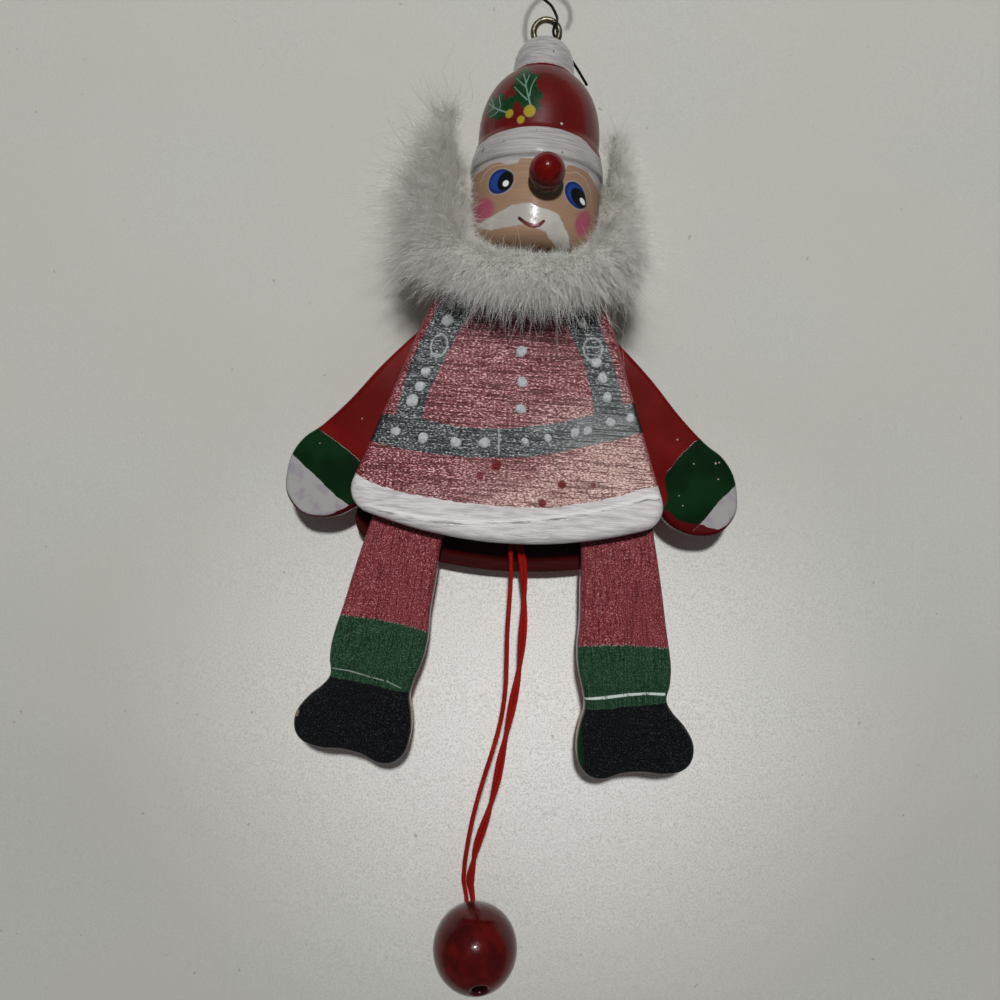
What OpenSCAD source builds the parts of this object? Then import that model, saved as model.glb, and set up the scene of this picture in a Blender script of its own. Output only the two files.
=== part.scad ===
// Pull-string wooden jumping jack: a painted winter figure on two boards.
// Millimetres. It hangs upright: the origin is the centre of the screw eye's ring,
// +Z runs up the figure, -Y is the painted front, and left and right are the viewer's.

/* [Screw eye and hook] */
// Radius of the eye's ring, to the middle of its wire
eye_ring_r = 3.2; // [2.8:0.1:5]
// Wire diameter of the screw eye
eye_wire_d = 1.6; // [1.2:0.1:2]
// Length of the eye's shank in the wood
eye_shank_l = 11; // [6:0.5:16]
// How deep the ring's lower edge has bitten into the pompom
eye_sink = 1.4; // [0:0.1:1.6]
// Wire diameter of the ornament hook
hook_wire_d = 0.7; // [0.5:0.1:1]

/* [Turned head] */
// Radius of the white pompom
pompom_r = 7.6; // [6:0.1:9]
// Height of the pompom
pompom_h = 9.7; // [7:0.1:12]
// Radius of the red hat where it meets the brim
hat_r = 15; // [13:0.1:18]
// Height of the red hat
hat_h = 18; // [14:0.1:24]
// Height of the hat's straight band above the brim
hat_band = 2.3; // [0.5:0.1:5]
// Largest radius of the white brim
brim_r = 16.5; // [14:0.1:20]
// Height of the brim
brim_h = 7.8; // [5:0.1:11]
// Radius of the face
face_r = 16; // [14:0.1:19]
// Height of the face, from the brim to the chin
face_h = 20.7; // [16:0.1:28]
// Rounding of the chin
chin_round = 4.5; // [2:0.1:7]

/* [Nose] */
// Diameter of the nose bead
nose_d = 8.2; // [6:0.1:10]
// How far the nose sits below the brim
nose_drop = 4.1; // [3.2:0.1:6]
// How far the nose sits to the right of the middle
nose_shift = 2; // [0:0.1:3]

/* [Boards] */
// Thickness of each body board
board_t = 4.2; // [3:0.1:6]
// Gap between the two boards
board_gap = 7; // [6.6:0.1:9]
// Sideways shift of the boards from the line of the head
board_shift = -1.8; // [-3:0.1:3]
// Height of the front board
board_h = 68.8; // [64:0.1:80]
// Half width of the front board at its hem
hem_half_w = 37.6; // [35:0.1:44]
// Slope of the board's long sides from upright, in degrees
side_slope = 19.8; // [16:0.1:22]
// Radius of the curved hem
hem_r = 108; // [80:1:200]
// Radius of the hem's two corners
hem_corner_r = 6; // [4:0.1:9]
// Radius of the two shoulder corners
top_corner_r = 3.5; // [3:0.1:6]
// Rounding of the boards' outer edges
edge_round = 2.4; // [1:0.1:2.8]
// How far the back board hangs below the front one
back_extra = 7.2; // [0:0.1:12]

/* [Arms] */
// Thickness of arms and legs
limb_t = 4.4; // [3.5:0.1:5]
// Distance of each arm's pivot from the middle of the boards
arm_pivot_x = 14.6; // [13:0.1:17]
// Depth of the arm pivots below the top of the boards
arm_pivot_drop = 19.5; // [18:0.1:24]
// Rest angle of the left arm from straight down
arm_left_angle = 40; // [35:0.5:50]
// Rest angle of the right arm from straight down
arm_right_angle = 43.3; // [35:0.1:50]
// Swing of the arms when the bead is pulled, in degrees
arm_swing = 62; // [40:1:70]
// Distance from an arm's pivot to its string hole
arm_lever = 7.2; // [6.8:0.1:7.6]

/* [Legs] */
// Distance of each leg's pivot from the middle between the legs
leg_pivot_x = 24.9; // [23:0.1:27]
// Sideways place of the middle between the legs
leg_shift = 0.4; // [-1:0.1:1]
// Depth of the leg pivots below the top of the boards
leg_pivot_drop = 58.2; // [57:0.1:60]
// Rest angle of the left leg from straight down
leg_left_angle = 9.3; // [4:0.1:14]
// Rest angle of the right leg from straight down
leg_right_angle = 6.7; // [4:0.1:14]
// Distance from a leg's pivot to its string hole
leg_lever = 8.5; // [8:0.1:9]

/* [Pins and neck] */
// Diameter of the four pivot pins
pin_d = 3; // [2:0.1:4]
// Depth of each pin in a board
pin_seat = 2.6; // [1.5:0.1:2.8]
// Running clearance of a pin in its limb, on the radius
pin_clear = 0.06; // [0.03:0.01:0.09]
// Width of the block between the boards at the neck
neck_w = 18; // [14:0.1:19]
// Height of the neck block
neck_h = 10; // [8:0.1:10.4]
// Diameter of the dowel in the neck
neck_pin_d = 5; // [4:0.1:5.4]
// Length of the dowel inside the head
neck_pin_up = 12; // [8:0.1:16]

/* [String and bead] */
// Thickness of the string
string_d = 1; // [0.7:0.1:1.2]
// Width of the main pull cord, two strings twisted together
cord_d = 2; // [1.6:0.1:2.4]
// Radius of the string holes in the limbs
string_hole_r = 1.4; // [1.3:0.05:1.5]
// Diameter of the pull bead
bead_d = 20.6; // [18:0.1:24]
// Diameter of the hole through the bead
bead_hole_d = 3.4; // [3.2:0.05:4]
// How far the bead's hole tips towards the front, from upright
bead_tilt = 55; // [50:1:60]
// How far the top of the bead's hole leans to the left
bead_lean = 17; // [12:1:22]

/* [Fur] */
// Clear space between the fur and the wood
fur_clear = 0.3; // [0.2:0.1:1]

/* [Hidden] */
$fn = 64;

// Small fits, named once
glue_clear = 0.02;
seat_gap = 0.1;
knot_r = 1.3;

// Heights down the figure, from the eye
pompom_top = eye_sink - eye_ring_r - eye_wire_d / 2;
hat_top = pompom_top - pompom_h;
brim_top = hat_top - hat_h;
face_top = brim_top - brim_h;
chin = face_top - face_h;
hem_z = chin - board_h;
arm_z = chin - arm_pivot_drop;
leg_z = chin - leg_pivot_drop;

// Depths, from the middle of the gap
half_gap = board_gap / 2;
half_limb = limb_t / 2;
string_y = half_limb + (half_gap - half_limb) / 2;

// Pivots and levers
arm_x = [board_shift - arm_pivot_x, board_shift + arm_pivot_x];
leg_x = [leg_shift - leg_pivot_x, leg_shift + leg_pivot_x];
arm_angle = [arm_left_angle, arm_right_angle];
leg_angle = [leg_left_angle, leg_right_angle];
pull_travel = 2 * arm_lever * sin(arm_swing / 2);
leg_swing = 2 * asin(pull_travel / (2 * leg_lever));
arm_lever_angle = arm_swing / 2 + (arm_left_angle + arm_right_angle) / 2;
leg_lever_angle = leg_swing / 2 + (leg_left_angle + leg_right_angle) / 2;

// Half an arm, then a leg, as points [down the limb, outwards], from the pivot
arm_shape = [
  [-10.9, -2.4], [-8.8, 3.6], [-2.5, 7.4], [7, 8.6], [18, 9.1], [29, 8.8], [38, 9.3],
  [43.5, 10.4], [48.5, 9.8], [52.8, 7.5], [56.2, 4.4], [57.6, 0], [56.8, -4],
  [52.6, -8.4], [46.5, -10.3], [38, -8.9], [28, -7.1], [15, -6.8], [4, -7.2],
  [-4, -7.8], [-9.3, -7]
];
leg_shape = [
  [-8.6, -3.2], [-6.8, 2.6], [-3, 6.5], [4, 8.2], [12, 9.2], [21, 10], [30, 10.6],
  [38.5, 11.3], [43.6, 10.9], [47.6, 9.8], [50.8, 11.2], [54.4, 14], [58.6, 15.8],
  [62.6, 15.2], [65, 12.6], [65.6, 8], [64.8, 3], [64.9, -2], [66, -6.4], [65.2, -10],
  [62, -12.4], [57, -12.7], [52.4, -11.7], [48.4, -10.3], [44.4, -10.5], [38.5, -11.4],
  [33, -11.3], [27, -10.4], [19, -9.9], [11, -9.3], [4, -10], [-1.5, -11.4],
  [-6.6, -11], [-9, -7.6]
];

// Routes of the two free cords, from the knot between the legs to inside the bead
cord_route = [
  [1, 1.9, -119.2], [1.1, 1.9, -122], [2, 1.6, -127], [3.2, 1.4, -132], [4, 1.2, -138],
  [4.4, 1, -145], [4.4, 0.8, -152], [4.1, 0.8, -159], [3.3, 0.8, -166], [2.3, 0.6, -173],
  [1.3, 0.4, -180], [0.4, 0.4, -187], [-1, 0.8, -194], [-2.4, 1.7, -199.6],
  [-3.4, 3.2, -204.2], [-3.9, 5.3, -208.6], [-4.2, 7.6, -212.3], [-4.3, 9.7, -215.2],
  [-4.1, 10.4, -216.8], [-3.7, 10.5, -218.3], [-3.3, 9.9, -219.8], [-3.1, 8.8, -221],
  [-2.6, 6.6, -222.4], [-2, 3.4, -224.6], [-1.1, -0.7, -227.4]
];
strand_route = [
  [-0.6, 1.9, -119.2], [-0.6, 1.4, -122], [-0.2, 0.4, -126], [0.1, -0.2, -130],
  [0.5, -0.4, -135], [0.6, -0.4, -142], [0.6, -0.4, -149], [0.9, -0.4, -156],
  [1.1, -0.6, -163], [0.6, -0.8, -170], [-0.7, -1, -177], [-2.4, -0.8, -184],
  [-3.9, 0, -191], [-4.9, 1, -197], [-5.5, 2.6, -202.5], [-5.9, 4.8, -207.6],
  [-6, 7.2, -211.6], [-6, 9.5, -214.9], [-5.7, 10.4, -216.8], [-5.3, 10.5, -218.3],
  [-4.9, 9.9, -219.8], [-4.7, 8.8, -221], [-4.2, 6.6, -222.4], [-3.6, 3.4, -224.6],
  [-2.7, -0.7, -227.4]
];
// Route of the hook's wire, from its tail behind the hat, through the eye, to its tip
hook_route = [
  [11.6, 8, -8.2], [10.2, 7.2, -6.6], [8.4, 6, -4.8], [6.2, 4.4, -3], [4, 2.7, -1.4],
  [2.5, 1.6, -0.3], [1.8, 0.6, 0.3], [1.7, -0.5, 0.7], [2, -1.4, 1.3], [2.4, -1.8, 2.4],
  [1.9, -1.7, 3.9], [0.7, -1.4, 6], [-1.1, -1.1, 7.6], [-3.2, -0.7, 9.8],
  [-4.9, -0.3, 12.8], [-5.5, 0, 16.4], [-5, 0, 20], [-3, 0, 23.4], [0, 0, 25.2],
  [3.4, 0, 24.8], [5.9, 0, 22.4], [6.4, 0, 19.2], [5.5, 0, 16.6]
];
bead_at = [-1.9, 0.1, -226.8];
// Middle of each knot where a cross string ties to the centre string
knot_y = half_gap - knot_r - 0.25;
arm_tie = [board_shift, knot_y, arm_z - 1.6];
leg_tie = [leg_shift, knot_y, leg_z - 1.8];

// The fur's soft solid, as balls [x, y, z, radius]
// A ball beside the head: angle round from the front, height above the chin, radius
function beside(angle, up, r) = let (d = brim_r + fur_clear + r)
  [d * sin(angle), -d * cos(angle), chin + up, r];
// A ball before the front board: sideways place, height above the chin, radius
function before(x, up, r) = [x, -half_gap - board_t - fur_clear - r, chin + up, r];
fur_left = [
  beside(-87, 34.8, 3.4), beside(-83, 22.8, 7.4), beside(-78, 11.8, 9),
  before(-23.6, -1.2, 8.2), before(-12, -8.6, 7.6), before(2, -10.8, 7.2)
];
fur_right = [
  before(2, -10.8, 7.2), before(13, -7.6, 7), before(19.4, 0.8, 5.6),
  beside(79, 11.8, 4.1), beside(93, 22.8, 3.8), beside(96, 33.8, 3.2)
];

// Helpers

function unit(v) = v / norm(v);

// Points of an arc in the plane, from angle a to angle b
function arc(centre, r, a, b, steps) = [
  for (i = [0 : steps]) let (t = a + (b - a) * i / steps) centre + r * [cos(t), sin(t)]
];

// One stretch of a smooth curve through b and c, with a and d as neighbours
function bend(a, b, c, d, t) =
  ((2 * b) + (c - a) * t + (2 * a - 5 * b + 4 * c - d) * pow(t, 2)
  + (3 * b - a - 3 * c + d) * pow(t, 3)) / 2;

// A closed outline through all its points, with some more points between them
function smooth_loop(p, steps) = let (n = len(p)) [
  for (i = [0 : n - 1], j = [0 : steps - 1])
    bend(p[(i + n - 1) % n], p[i], p[(i + 1) % n], p[(i + 2) % n], j / steps)
];

// An outline drawn in by d, each point along the mean of its two edges' normals
function drawn_in(p, d) = let (n = len(p)) [
  for (i = [0 : n - 1])
    let (
      before = unit(p[i] - p[(i + n - 1) % n]),
      after = unit(p[(i + 1) % n] - p[i]),
      normal = unit([-before.y - after.y, before.x + after.x])
    )
    p[i] + normal * d / max(0.5, normal * [-after.y, after.x])
];

// A plate standing in the XZ plane: each layer is a depth and an outline, front first
module plate(layers) {
  n = len(layers[0][1]);
  last = len(layers) - 1;
  polyhedron(
    points = [for (l = layers, p = l[1]) [p.x, l[0], p.y]],
    faces = concat(
      [[for (i = [n - 1 : -1 : 0]) i]],
      [for (k = [0 : last - 1], i = [0 : n - 1])
        let (j = (i + 1) % n) each [
          [k * n + i, k * n + j, (k + 1) * n + i],
          [k * n + j, (k + 1) * n + j, (k + 1) * n + i]
        ]],
      [[for (i = [0 : n - 1]) last * n + i]]
    )
  );
}

// Depth and inset of the layers of a quarter-round edge that starts at depth y
function edge_layers(y, r, into, steps) = [
  for (i = [0 : steps]) let (a = 90 * i / steps)
    into > 0 ? [y + r * (1 - cos(a)), r * (1 - sin(a))] : [y - r * (1 - sin(a)), r * (1 - cos(a))]
];

// A round tube along a route, with flat ends; side is never along the route
module tube(route, d, side, sides = 8) {
  n = len(route);
  points = [
    for (i = [0 : n - 1])
      let (
        along = unit(route[min(i + 1, n - 1)] - route[max(i - 1, 0)]),
        u = unit(cross(along, side)),
        v = cross(u, along)
      )
      for (j = [0 : sides - 1])
        route[i] + (u * cos(360 * j / sides) + v * sin(360 * j / sides)) * d / 2
  ];
  polyhedron(
    points = points,
    faces = concat(
      [[for (j = [sides - 1 : -1 : 0]) j]],
      [for (i = [0 : n - 2], j = [0 : sides - 1])
        let (k = (j + 1) % sides) each [
          [i * sides + j, i * sides + k, (i + 1) * sides + j],
          [i * sides + k, (i + 1) * sides + k, (i + 1) * sides + j]
        ]],
      [[for (j = [0 : sides - 1]) (n - 1) * sides + j]]
    )
  );
}

// A straight round bar or bore along Y
module cross_bar(at, d, from_y, to_y) {
  translate([at.x, from_y, at.y]) rotate([-90, 0, 0]) cylinder(d = d, h = to_y - from_y);
}

// The boards

// Outline of a board whose hem is at height bottom, drawn in by d all round
function board_outline(bottom, d) =
  let (
    corner_x = hem_half_w - hem_corner_r,
    hem_centre = [0, bottom + hem_r],
    reach = hem_r - hem_corner_r,
    corner = [corner_x, hem_centre.y - sqrt(pow(reach, 2) - pow(corner_x, 2))],
    out = [cos(side_slope), sin(side_slope)],
    top_z = chin - top_corner_r,
    top_x = (out * corner + hem_corner_r - top_corner_r - out.y * top_z) / out.x,
    hem_angle = asin(corner_x / reach),
    shift = [board_shift, 0]
  )
  concat(
    arc(hem_centre + shift, hem_r - d, -90 - hem_angle, -90 + hem_angle, 16),
    arc(corner + shift, hem_corner_r - d, -76 + hem_angle, side_slope, 6),
    arc([top_x, top_z] + shift, top_corner_r - d, side_slope, 90, 5),
    arc([-top_x, top_z] + shift, top_corner_r - d, 90, 180 - side_slope, 5),
    arc([-corner.x, corner.y] + shift, hem_corner_r - d, 180 - side_slope, 256 - hem_angle, 6)
  );

module pin_seats(from_y, to_y) {
  for (i = [0, 1]) {
    cross_bar([arm_x[i], arm_z], pin_d + 2 * glue_clear, from_y, to_y);
    cross_bar([leg_x[i], leg_z], pin_d + 2 * glue_clear, from_y, to_y);
  }
}

module front_board() {
  face = -half_gap - board_t;
  color([0.62, 0.30, 0.33]) difference() {
    plate([
      for (l = edge_layers(face, edge_round, 1, 5)) [l[0], board_outline(hem_z, l[1])],
      [-half_gap, board_outline(hem_z, 0)]
    ]);
    pin_seats(-half_gap - pin_seat - seat_gap, -half_gap + 1);
  }
}

module back_board() {
  face = half_gap + board_t;
  bottom = hem_z - back_extra;
  color([0.40, 0.03, 0.04]) difference() {
    plate([
      [half_gap, board_outline(bottom, 0)],
      for (l = edge_layers(face, edge_round, -1, 5)) [l[0], board_outline(bottom, l[1])]
    ]);
    pin_seats(half_gap - 1, half_gap + pin_seat + seat_gap);
  }
}

module neck_block() {
  color([0.78, 0.62, 0.42]) difference() {
    translate([board_shift - neck_w / 2, -half_gap, chin - neck_h])
      cube([neck_w, board_gap, neck_h]);
    translate([0, 0, chin - neck_h - 1]) cylinder(d = neck_pin_d + 2 * glue_clear, h = neck_h + 2);
  }
}

module neck_dowel() {
  color([0.80, 0.66, 0.46])
    translate([0, 0, chin - neck_h + seat_gap])
      cylinder(d = neck_pin_d, h = neck_h - seat_gap + neck_pin_up);
}

// The turned head

// Quarter of a rounded cap: radius r at height z, height h, squarer as power grows
function cap(r, z, h, power, last_a, steps) = [
  for (i = [0 : steps]) let (a = last_a * i / steps)
    [r * pow(max(cos(a), 0), 2 / power), z + h * pow(sin(a), 2 / power)]
];

// Right half of the head's turning, from the chin up to the pompom
function head_profile() =
  let (
    lip = 0.6,
    hat_power = 2.2,
    pompom_power = 2.8,
    dome_h = (hat_h - hat_band) / pow(1 - pow(pompom_r / hat_r, hat_power), 1 / hat_power),
    meet_a = acos(pow(pompom_r / hat_r, hat_power / 2))
  )
  concat(
    [[0, chin], [face_r - chin_round, chin]],
    arc([face_r - chin_round, chin + chin_round], chin_round, -75, 0, 5),
    [[face_r, face_top], [brim_r, face_top + lip]],
    [for (i = [1 : 8]) let (t = i / 8)
      [brim_r - (brim_r - hat_r) * pow(t, 2), face_top + lip + (brim_h - lip) * t]],
    cap(hat_r, brim_top + hat_band, dome_h, hat_power, meet_a, 14),
    cap(pompom_r, hat_top, pompom_h, pompom_power, 90, 12)
  );

module head() {
  color([0.86, 0.84, 0.82]) difference() {
    rotate_extrude($fn = 96) polygon(head_profile());
    translate([0, 0, chin - 1])
      cylinder(d = neck_pin_d + 2 * glue_clear, h = neck_pin_up + seat_gap + 1);
    translate([0, 0, pompom_top - eye_shank_l - seat_gap])
      cylinder(d = eye_wire_d + 2 * glue_clear, h = eye_shank_l + seat_gap + 1);
    eye_ring(eye_wire_d / 2 + glue_clear);
  }
}

// A round bead with its back cut to the curve of the face
module nose_bead() {
  x = nose_shift;
  y = -sqrt(pow(face_r, 2) - pow(x, 2)) - nose_d * 0.4;
  color([0.45, 0.02, 0.03]) difference() {
    translate([x, y, face_top - nose_drop]) sphere(d = nose_d, $fn = 48);
    translate([0, 0, chin]) cylinder(r = face_r + glue_clear, h = face_h + brim_h, $fn = 96);
  }
}

// The eye's ring, with wire of radius r
module eye_ring(r) {
  rotate([90, 0, 0]) rotate_extrude($fn = 64) translate([eye_ring_r, 0]) circle(r = r, $fn = 24);
}

// A wire ring with a pointed shank that screws into the pompom
module screw_eye() {
  r = eye_wire_d / 2;
  tip_z = pompom_top - eye_shank_l;
  color([0.55, 0.52, 0.46]) {
    eye_ring(r);
    translate([0, 0, tip_z + 2 * r]) cylinder(r = r, h = -eye_ring_r - tip_z - 2 * r);
    translate([0, 0, tip_z]) cylinder(r1 = 0.2, r2 = r, h = 2 * r);
  }
}

module fur_balls(balls) {
  for (i = [0 : len(balls) - 2]) hull() for (b = [balls[i], balls[i + 1]])
    translate([b[0], b[1], b[2]]) sphere(r = b[3], $fn = 18);
}

// Beard and side hair, hollowed where the head and the front board are
module fur_beard() {
  front = -half_gap - board_t - fur_clear;
  color([0.82, 0.82, 0.82]) difference() {
    union() {
      fur_balls(fur_left);
      fur_balls(fur_right);
    }
    translate([0, 0, chin - fur_clear]) cylinder(r = brim_r + fur_clear, h = -chin);
    translate([-hem_half_w, front, chin - board_h]) cube([2 * hem_half_w, -2 * front, board_h]);
  }
}

module pivot_pins() {
  reach = half_gap + pin_seat;
  color([0.80, 0.66, 0.46]) for (i = [0, 1]) {
    cross_bar([arm_x[i], arm_z], pin_d, -reach, reach);
    cross_bar([leg_x[i], leg_z], pin_d, -reach, reach);
  }
}

// The limbs

// Outline points of a limb in its own frame, hanging straight down; side is -1 or 1
function limb_outline(shape, side, steps) =
  let (p = smooth_loop([for (q = shape) [side * q[1], -q[0]]], steps))
  side > 0 ? [for (i = [len(p) - 1 : -1 : 0]) p[i]] : p;

// A limb with its pivot hole and its string hole, turned to its rest angle
// Its edge is rounded in steps: slices that grow thinner as they reach further out
module limb(shape, side, pivot, angle, lever, lever_angle) {
  r = 1.1;
  outline = limb_outline(shape, side, 2);
  translate([pivot.x, 0, pivot.y]) rotate([0, -side * angle, 0]) difference() {
    for (a = [0 : 30 : 90]) rotate([90, 0, 0])
      linear_extrude(limb_t - 2 * r * (1 - cos(a)), center = true)
        polygon(drawn_in(outline, r * (1 - sin(a))));
    cross_bar([0, 0], pin_d + 2 * pin_clear, -limb_t, limb_t);
    cross_bar([-side * lever * cos(lever_angle), lever * sin(lever_angle)],
      2 * string_hole_r, -limb_t, limb_t);
  }
}

module arm(i) {
  color([0.47, 0.03, 0.04])
    limb(arm_shape, 2 * i - 1, [arm_x[i], arm_z], arm_angle[i], arm_lever, arm_lever_angle);
}

module leg(i) {
  color([0.53, 0.24, 0.27])
    limb(leg_shape, 2 * i - 1, [leg_x[i], leg_z], leg_angle[i], leg_lever, leg_lever_angle);
}

// Middle of a limb's string hole at rest, [x, z]
function string_hole(i, x, z, angle, lever, lever_angle) =
  [x[i] + (1 - 2 * i) * lever * cos(lever_angle - angle[i]), z + lever * sin(lever_angle - angle[i])];
function arm_hole(i) = string_hole(i, arm_x, arm_z, arm_angle, arm_lever, arm_lever_angle);
function leg_hole(i) = string_hole(i, leg_x, leg_z, leg_angle, leg_lever, leg_lever_angle);

// The strings between the boards

// The string's place in its hole, half of the hole's sideways travel inwards
function string_at(hole, i, lever, swing) =
  hole + [(1 - 2 * i) * lever * (1 - cos(swing / 2)) / 2, 0];

module knot_at(p, r) {
  translate(p) sphere(r = r, $fn = 32);
}

// A flat knot in front of each of two holes and a string behind them to the tie knot
module cross_string(a, b, tie) {
  knot_t = 1;
  knot_front = -half_limb - knot_t - 0.15;
  difference() {
    for (p = [a, b]) {
      inward = sign(tie.x - p.x);
      cross_bar(p, 3 * string_d, knot_front, knot_front + knot_t);
      tube([
        [p.x, knot_front + knot_t / 2, p.y],
        [p.x, half_limb - 0.5, p.y],
        [p.x + inward * 0.1, half_limb + 0.2, p.y],
        [p.x + inward * 0.7, string_y, p.y - 0.1],
        [(p.x + tie.x) / 2, string_y, (p.y + tie.z) / 2 - 0.4],
        tie
      ], string_d, [0, 0, 1]);
    }
    knot_at(tie, knot_r + glue_clear);
  }
}

module arm_string() {
  color([0.65, 0.05, 0.05]) cross_string(
    string_at(arm_hole(0), 0, arm_lever, arm_swing),
    string_at(arm_hole(1), 1, arm_lever, arm_swing), arm_tie);
}

module leg_string() {
  color([0.65, 0.05, 0.05]) cross_string(
    string_at(leg_hole(0), 0, leg_lever, leg_swing),
    string_at(leg_hole(1), 1, leg_lever, leg_swing), leg_tie);
}

module centre_string() {
  color([0.65, 0.05, 0.05]) difference() {
    tube([arm_tie, (arm_tie + leg_tie) / 2, leg_tie], string_d, [0, 1, 0]);
    knot_at(arm_tie, knot_r + glue_clear);
    knot_at(leg_tie, knot_r + glue_clear);
  }
}

module tie_knots() {
  color([0.60, 0.04, 0.05]) {
    knot_at(arm_tie, knot_r);
    knot_at(leg_tie, knot_r);
  }
}

// The free cords and the bead

// A free cord, cut off where its knot between the legs begins
module free_cord(route, d) {
  color([0.68, 0.05, 0.05]) difference() {
    tube(route, d, [1, 0, 0]);
    knot_at(leg_tie, knot_r + glue_clear);
  }
}

module pull_cord() {
  free_cord(cord_route, cord_d);
}

module pull_strand() {
  free_cord(strand_route, string_d);
}

module pull_bead() {
  color([0.35, 0.03, 0.04]) translate(bead_at) rotate([0, -bead_lean, 0])
    rotate([-bead_tilt, 0, 0]) difference() {
      sphere(d = bead_d, $fn = 72);
      translate([0, 0, -bead_d]) cylinder(d = bead_hole_d, h = 2 * bead_d);
    }
}

module ornament_hook() {
  color([0.20, 0.20, 0.20]) tube(hook_route, hook_wire_d, [0.6, 0.75, 0.3]);
}

front_board();
back_board();
neck_block();
neck_dowel();
head();
nose_bead();
screw_eye();
fur_beard();
pivot_pins();
arm(0);  // arm_left
arm(1);  // arm_right
leg(0);  // leg_left
leg(1);  // leg_right
arm_string();
leg_string();
centre_string();
tie_knots();
pull_cord();
pull_strand();
pull_bead();
ornament_hook();
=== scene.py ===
# %% [markdown]
# # A pull-string jumping jack
#
# The real toy is a flat wooden figure that hangs from a screw eye. Two boards make its body,
# four thin limbs swing between them on pins, and a knotted string joins the limbs' levers to
# a bead below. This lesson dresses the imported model, which is the frame, in painted wood,
# thread, wire and fur. Every piece goes exactly where the frame says, so nothing is fitted
# by eye, and each one rides on a body of the frame.

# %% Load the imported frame
import math

import bmesh
import bpy
import numpy as np
from mathutils import Matrix, Vector
from mathutils.kdtree import KDTree


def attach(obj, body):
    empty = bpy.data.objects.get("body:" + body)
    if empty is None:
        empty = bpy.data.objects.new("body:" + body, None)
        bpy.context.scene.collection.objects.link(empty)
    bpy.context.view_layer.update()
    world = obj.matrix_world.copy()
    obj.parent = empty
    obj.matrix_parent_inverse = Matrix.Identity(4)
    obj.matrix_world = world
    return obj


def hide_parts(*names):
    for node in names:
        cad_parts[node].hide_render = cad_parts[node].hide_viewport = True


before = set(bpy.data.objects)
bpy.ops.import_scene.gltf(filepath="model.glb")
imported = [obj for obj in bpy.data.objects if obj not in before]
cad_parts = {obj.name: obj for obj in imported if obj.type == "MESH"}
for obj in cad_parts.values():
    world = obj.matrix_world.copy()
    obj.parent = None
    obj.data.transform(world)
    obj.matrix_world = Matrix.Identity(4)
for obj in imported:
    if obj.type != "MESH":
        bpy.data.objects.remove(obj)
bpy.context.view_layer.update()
MM = 0.001

# %% [markdown]
# ## The camera
#
# The photograph was taken from straight in front, level with the figure's hem, with the
# camera tipped up by one degree and rolled by four. A focal length of 800 pixels on a frame
# of 1000 is a 28.8 mm lens on a 36 mm sensor, which gives the strong perspective of a phone.

# %% Camera
CAMERA_AT = Vector((-3.44, -197.5, -120.55)) * MM
CAMERA_PITCH = math.radians(1.0)
CAMERA_ROLL = math.radians(3.99)


def shown(name, data):
    """Puts new data into the scene as an object."""
    made = bpy.data.objects.new(name, data)
    bpy.context.scene.collection.objects.link(made)
    return made


camera_data = bpy.data.cameras.new("camera")
camera_data.lens = 28.8
camera_data.sensor_width = 36.0
camera_data.clip_start = 0.01
camera = shown("camera", camera_data)
bpy.context.scene.camera = camera

forward = Vector((0, math.cos(CAMERA_PITCH), math.sin(CAMERA_PITCH)))
level_right = Vector((1, 0, 0))
level_up = level_right.cross(forward)
right = level_right * math.cos(CAMERA_ROLL) + level_up * math.sin(CAMERA_ROLL)
up = level_up * math.cos(CAMERA_ROLL) - level_right * math.sin(CAMERA_ROLL)
turn = Matrix((right, up, -forward)).transposed().to_4x4()
camera.matrix_world = Matrix.Translation(CAMERA_AT) @ turn
print("camera stands", round(-CAMERA_AT.y / MM), "mm in front of the figure")

# %% [markdown]
# ## Shader maths as Python
#
# A painted toy needs many small masks. Wiring them by hand is slow to read, so one class
# wraps a node's output and overloads the usual operators. An expression such as
# `1 - mask * 0.5` then adds its own Math nodes. Any other node comes from `node()`, which
# sets the node's own settings first and then fills or links its inputs.

# %% Wrapped sockets
class Wire:
    """One output of a node, ready for arithmetic."""

    def __init__(self, finish, socket):
        self.finish = finish
        self.socket = socket

    def __neg__(self):
        return self * -1.0

    def __abs__(self):
        return self.finish.maths("ABSOLUTE", self)


def overload(sign, operation):
    """Gives Wire one operator and its reflected form."""
    def forward(self, other):
        return self.finish.maths(operation, self, other)

    def reflected(self, other):
        return self.finish.maths(operation, other, self)

    setattr(Wire, "__" + sign + "__", forward)
    setattr(Wire, "__r" + sign + "__", reflected)


for sign, operation in (("add", "ADD"), ("sub", "SUBTRACT"), ("mul", "MULTIPLY"),
                        ("pow", "POWER")):
    overload(sign, operation)
print("sockets take part in sums")

# %% [markdown]
# A finish is a material while it is being made, or the world. It keeps the colour painted
# so far, so that the next coat is laid over it as a painter would. It also has the masks
# that most pieces need: ovals, brush strokes, smooth lines and noise. All are measured in
# millimetres on the toy, because its pieces have no unwrapped pictures.

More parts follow.
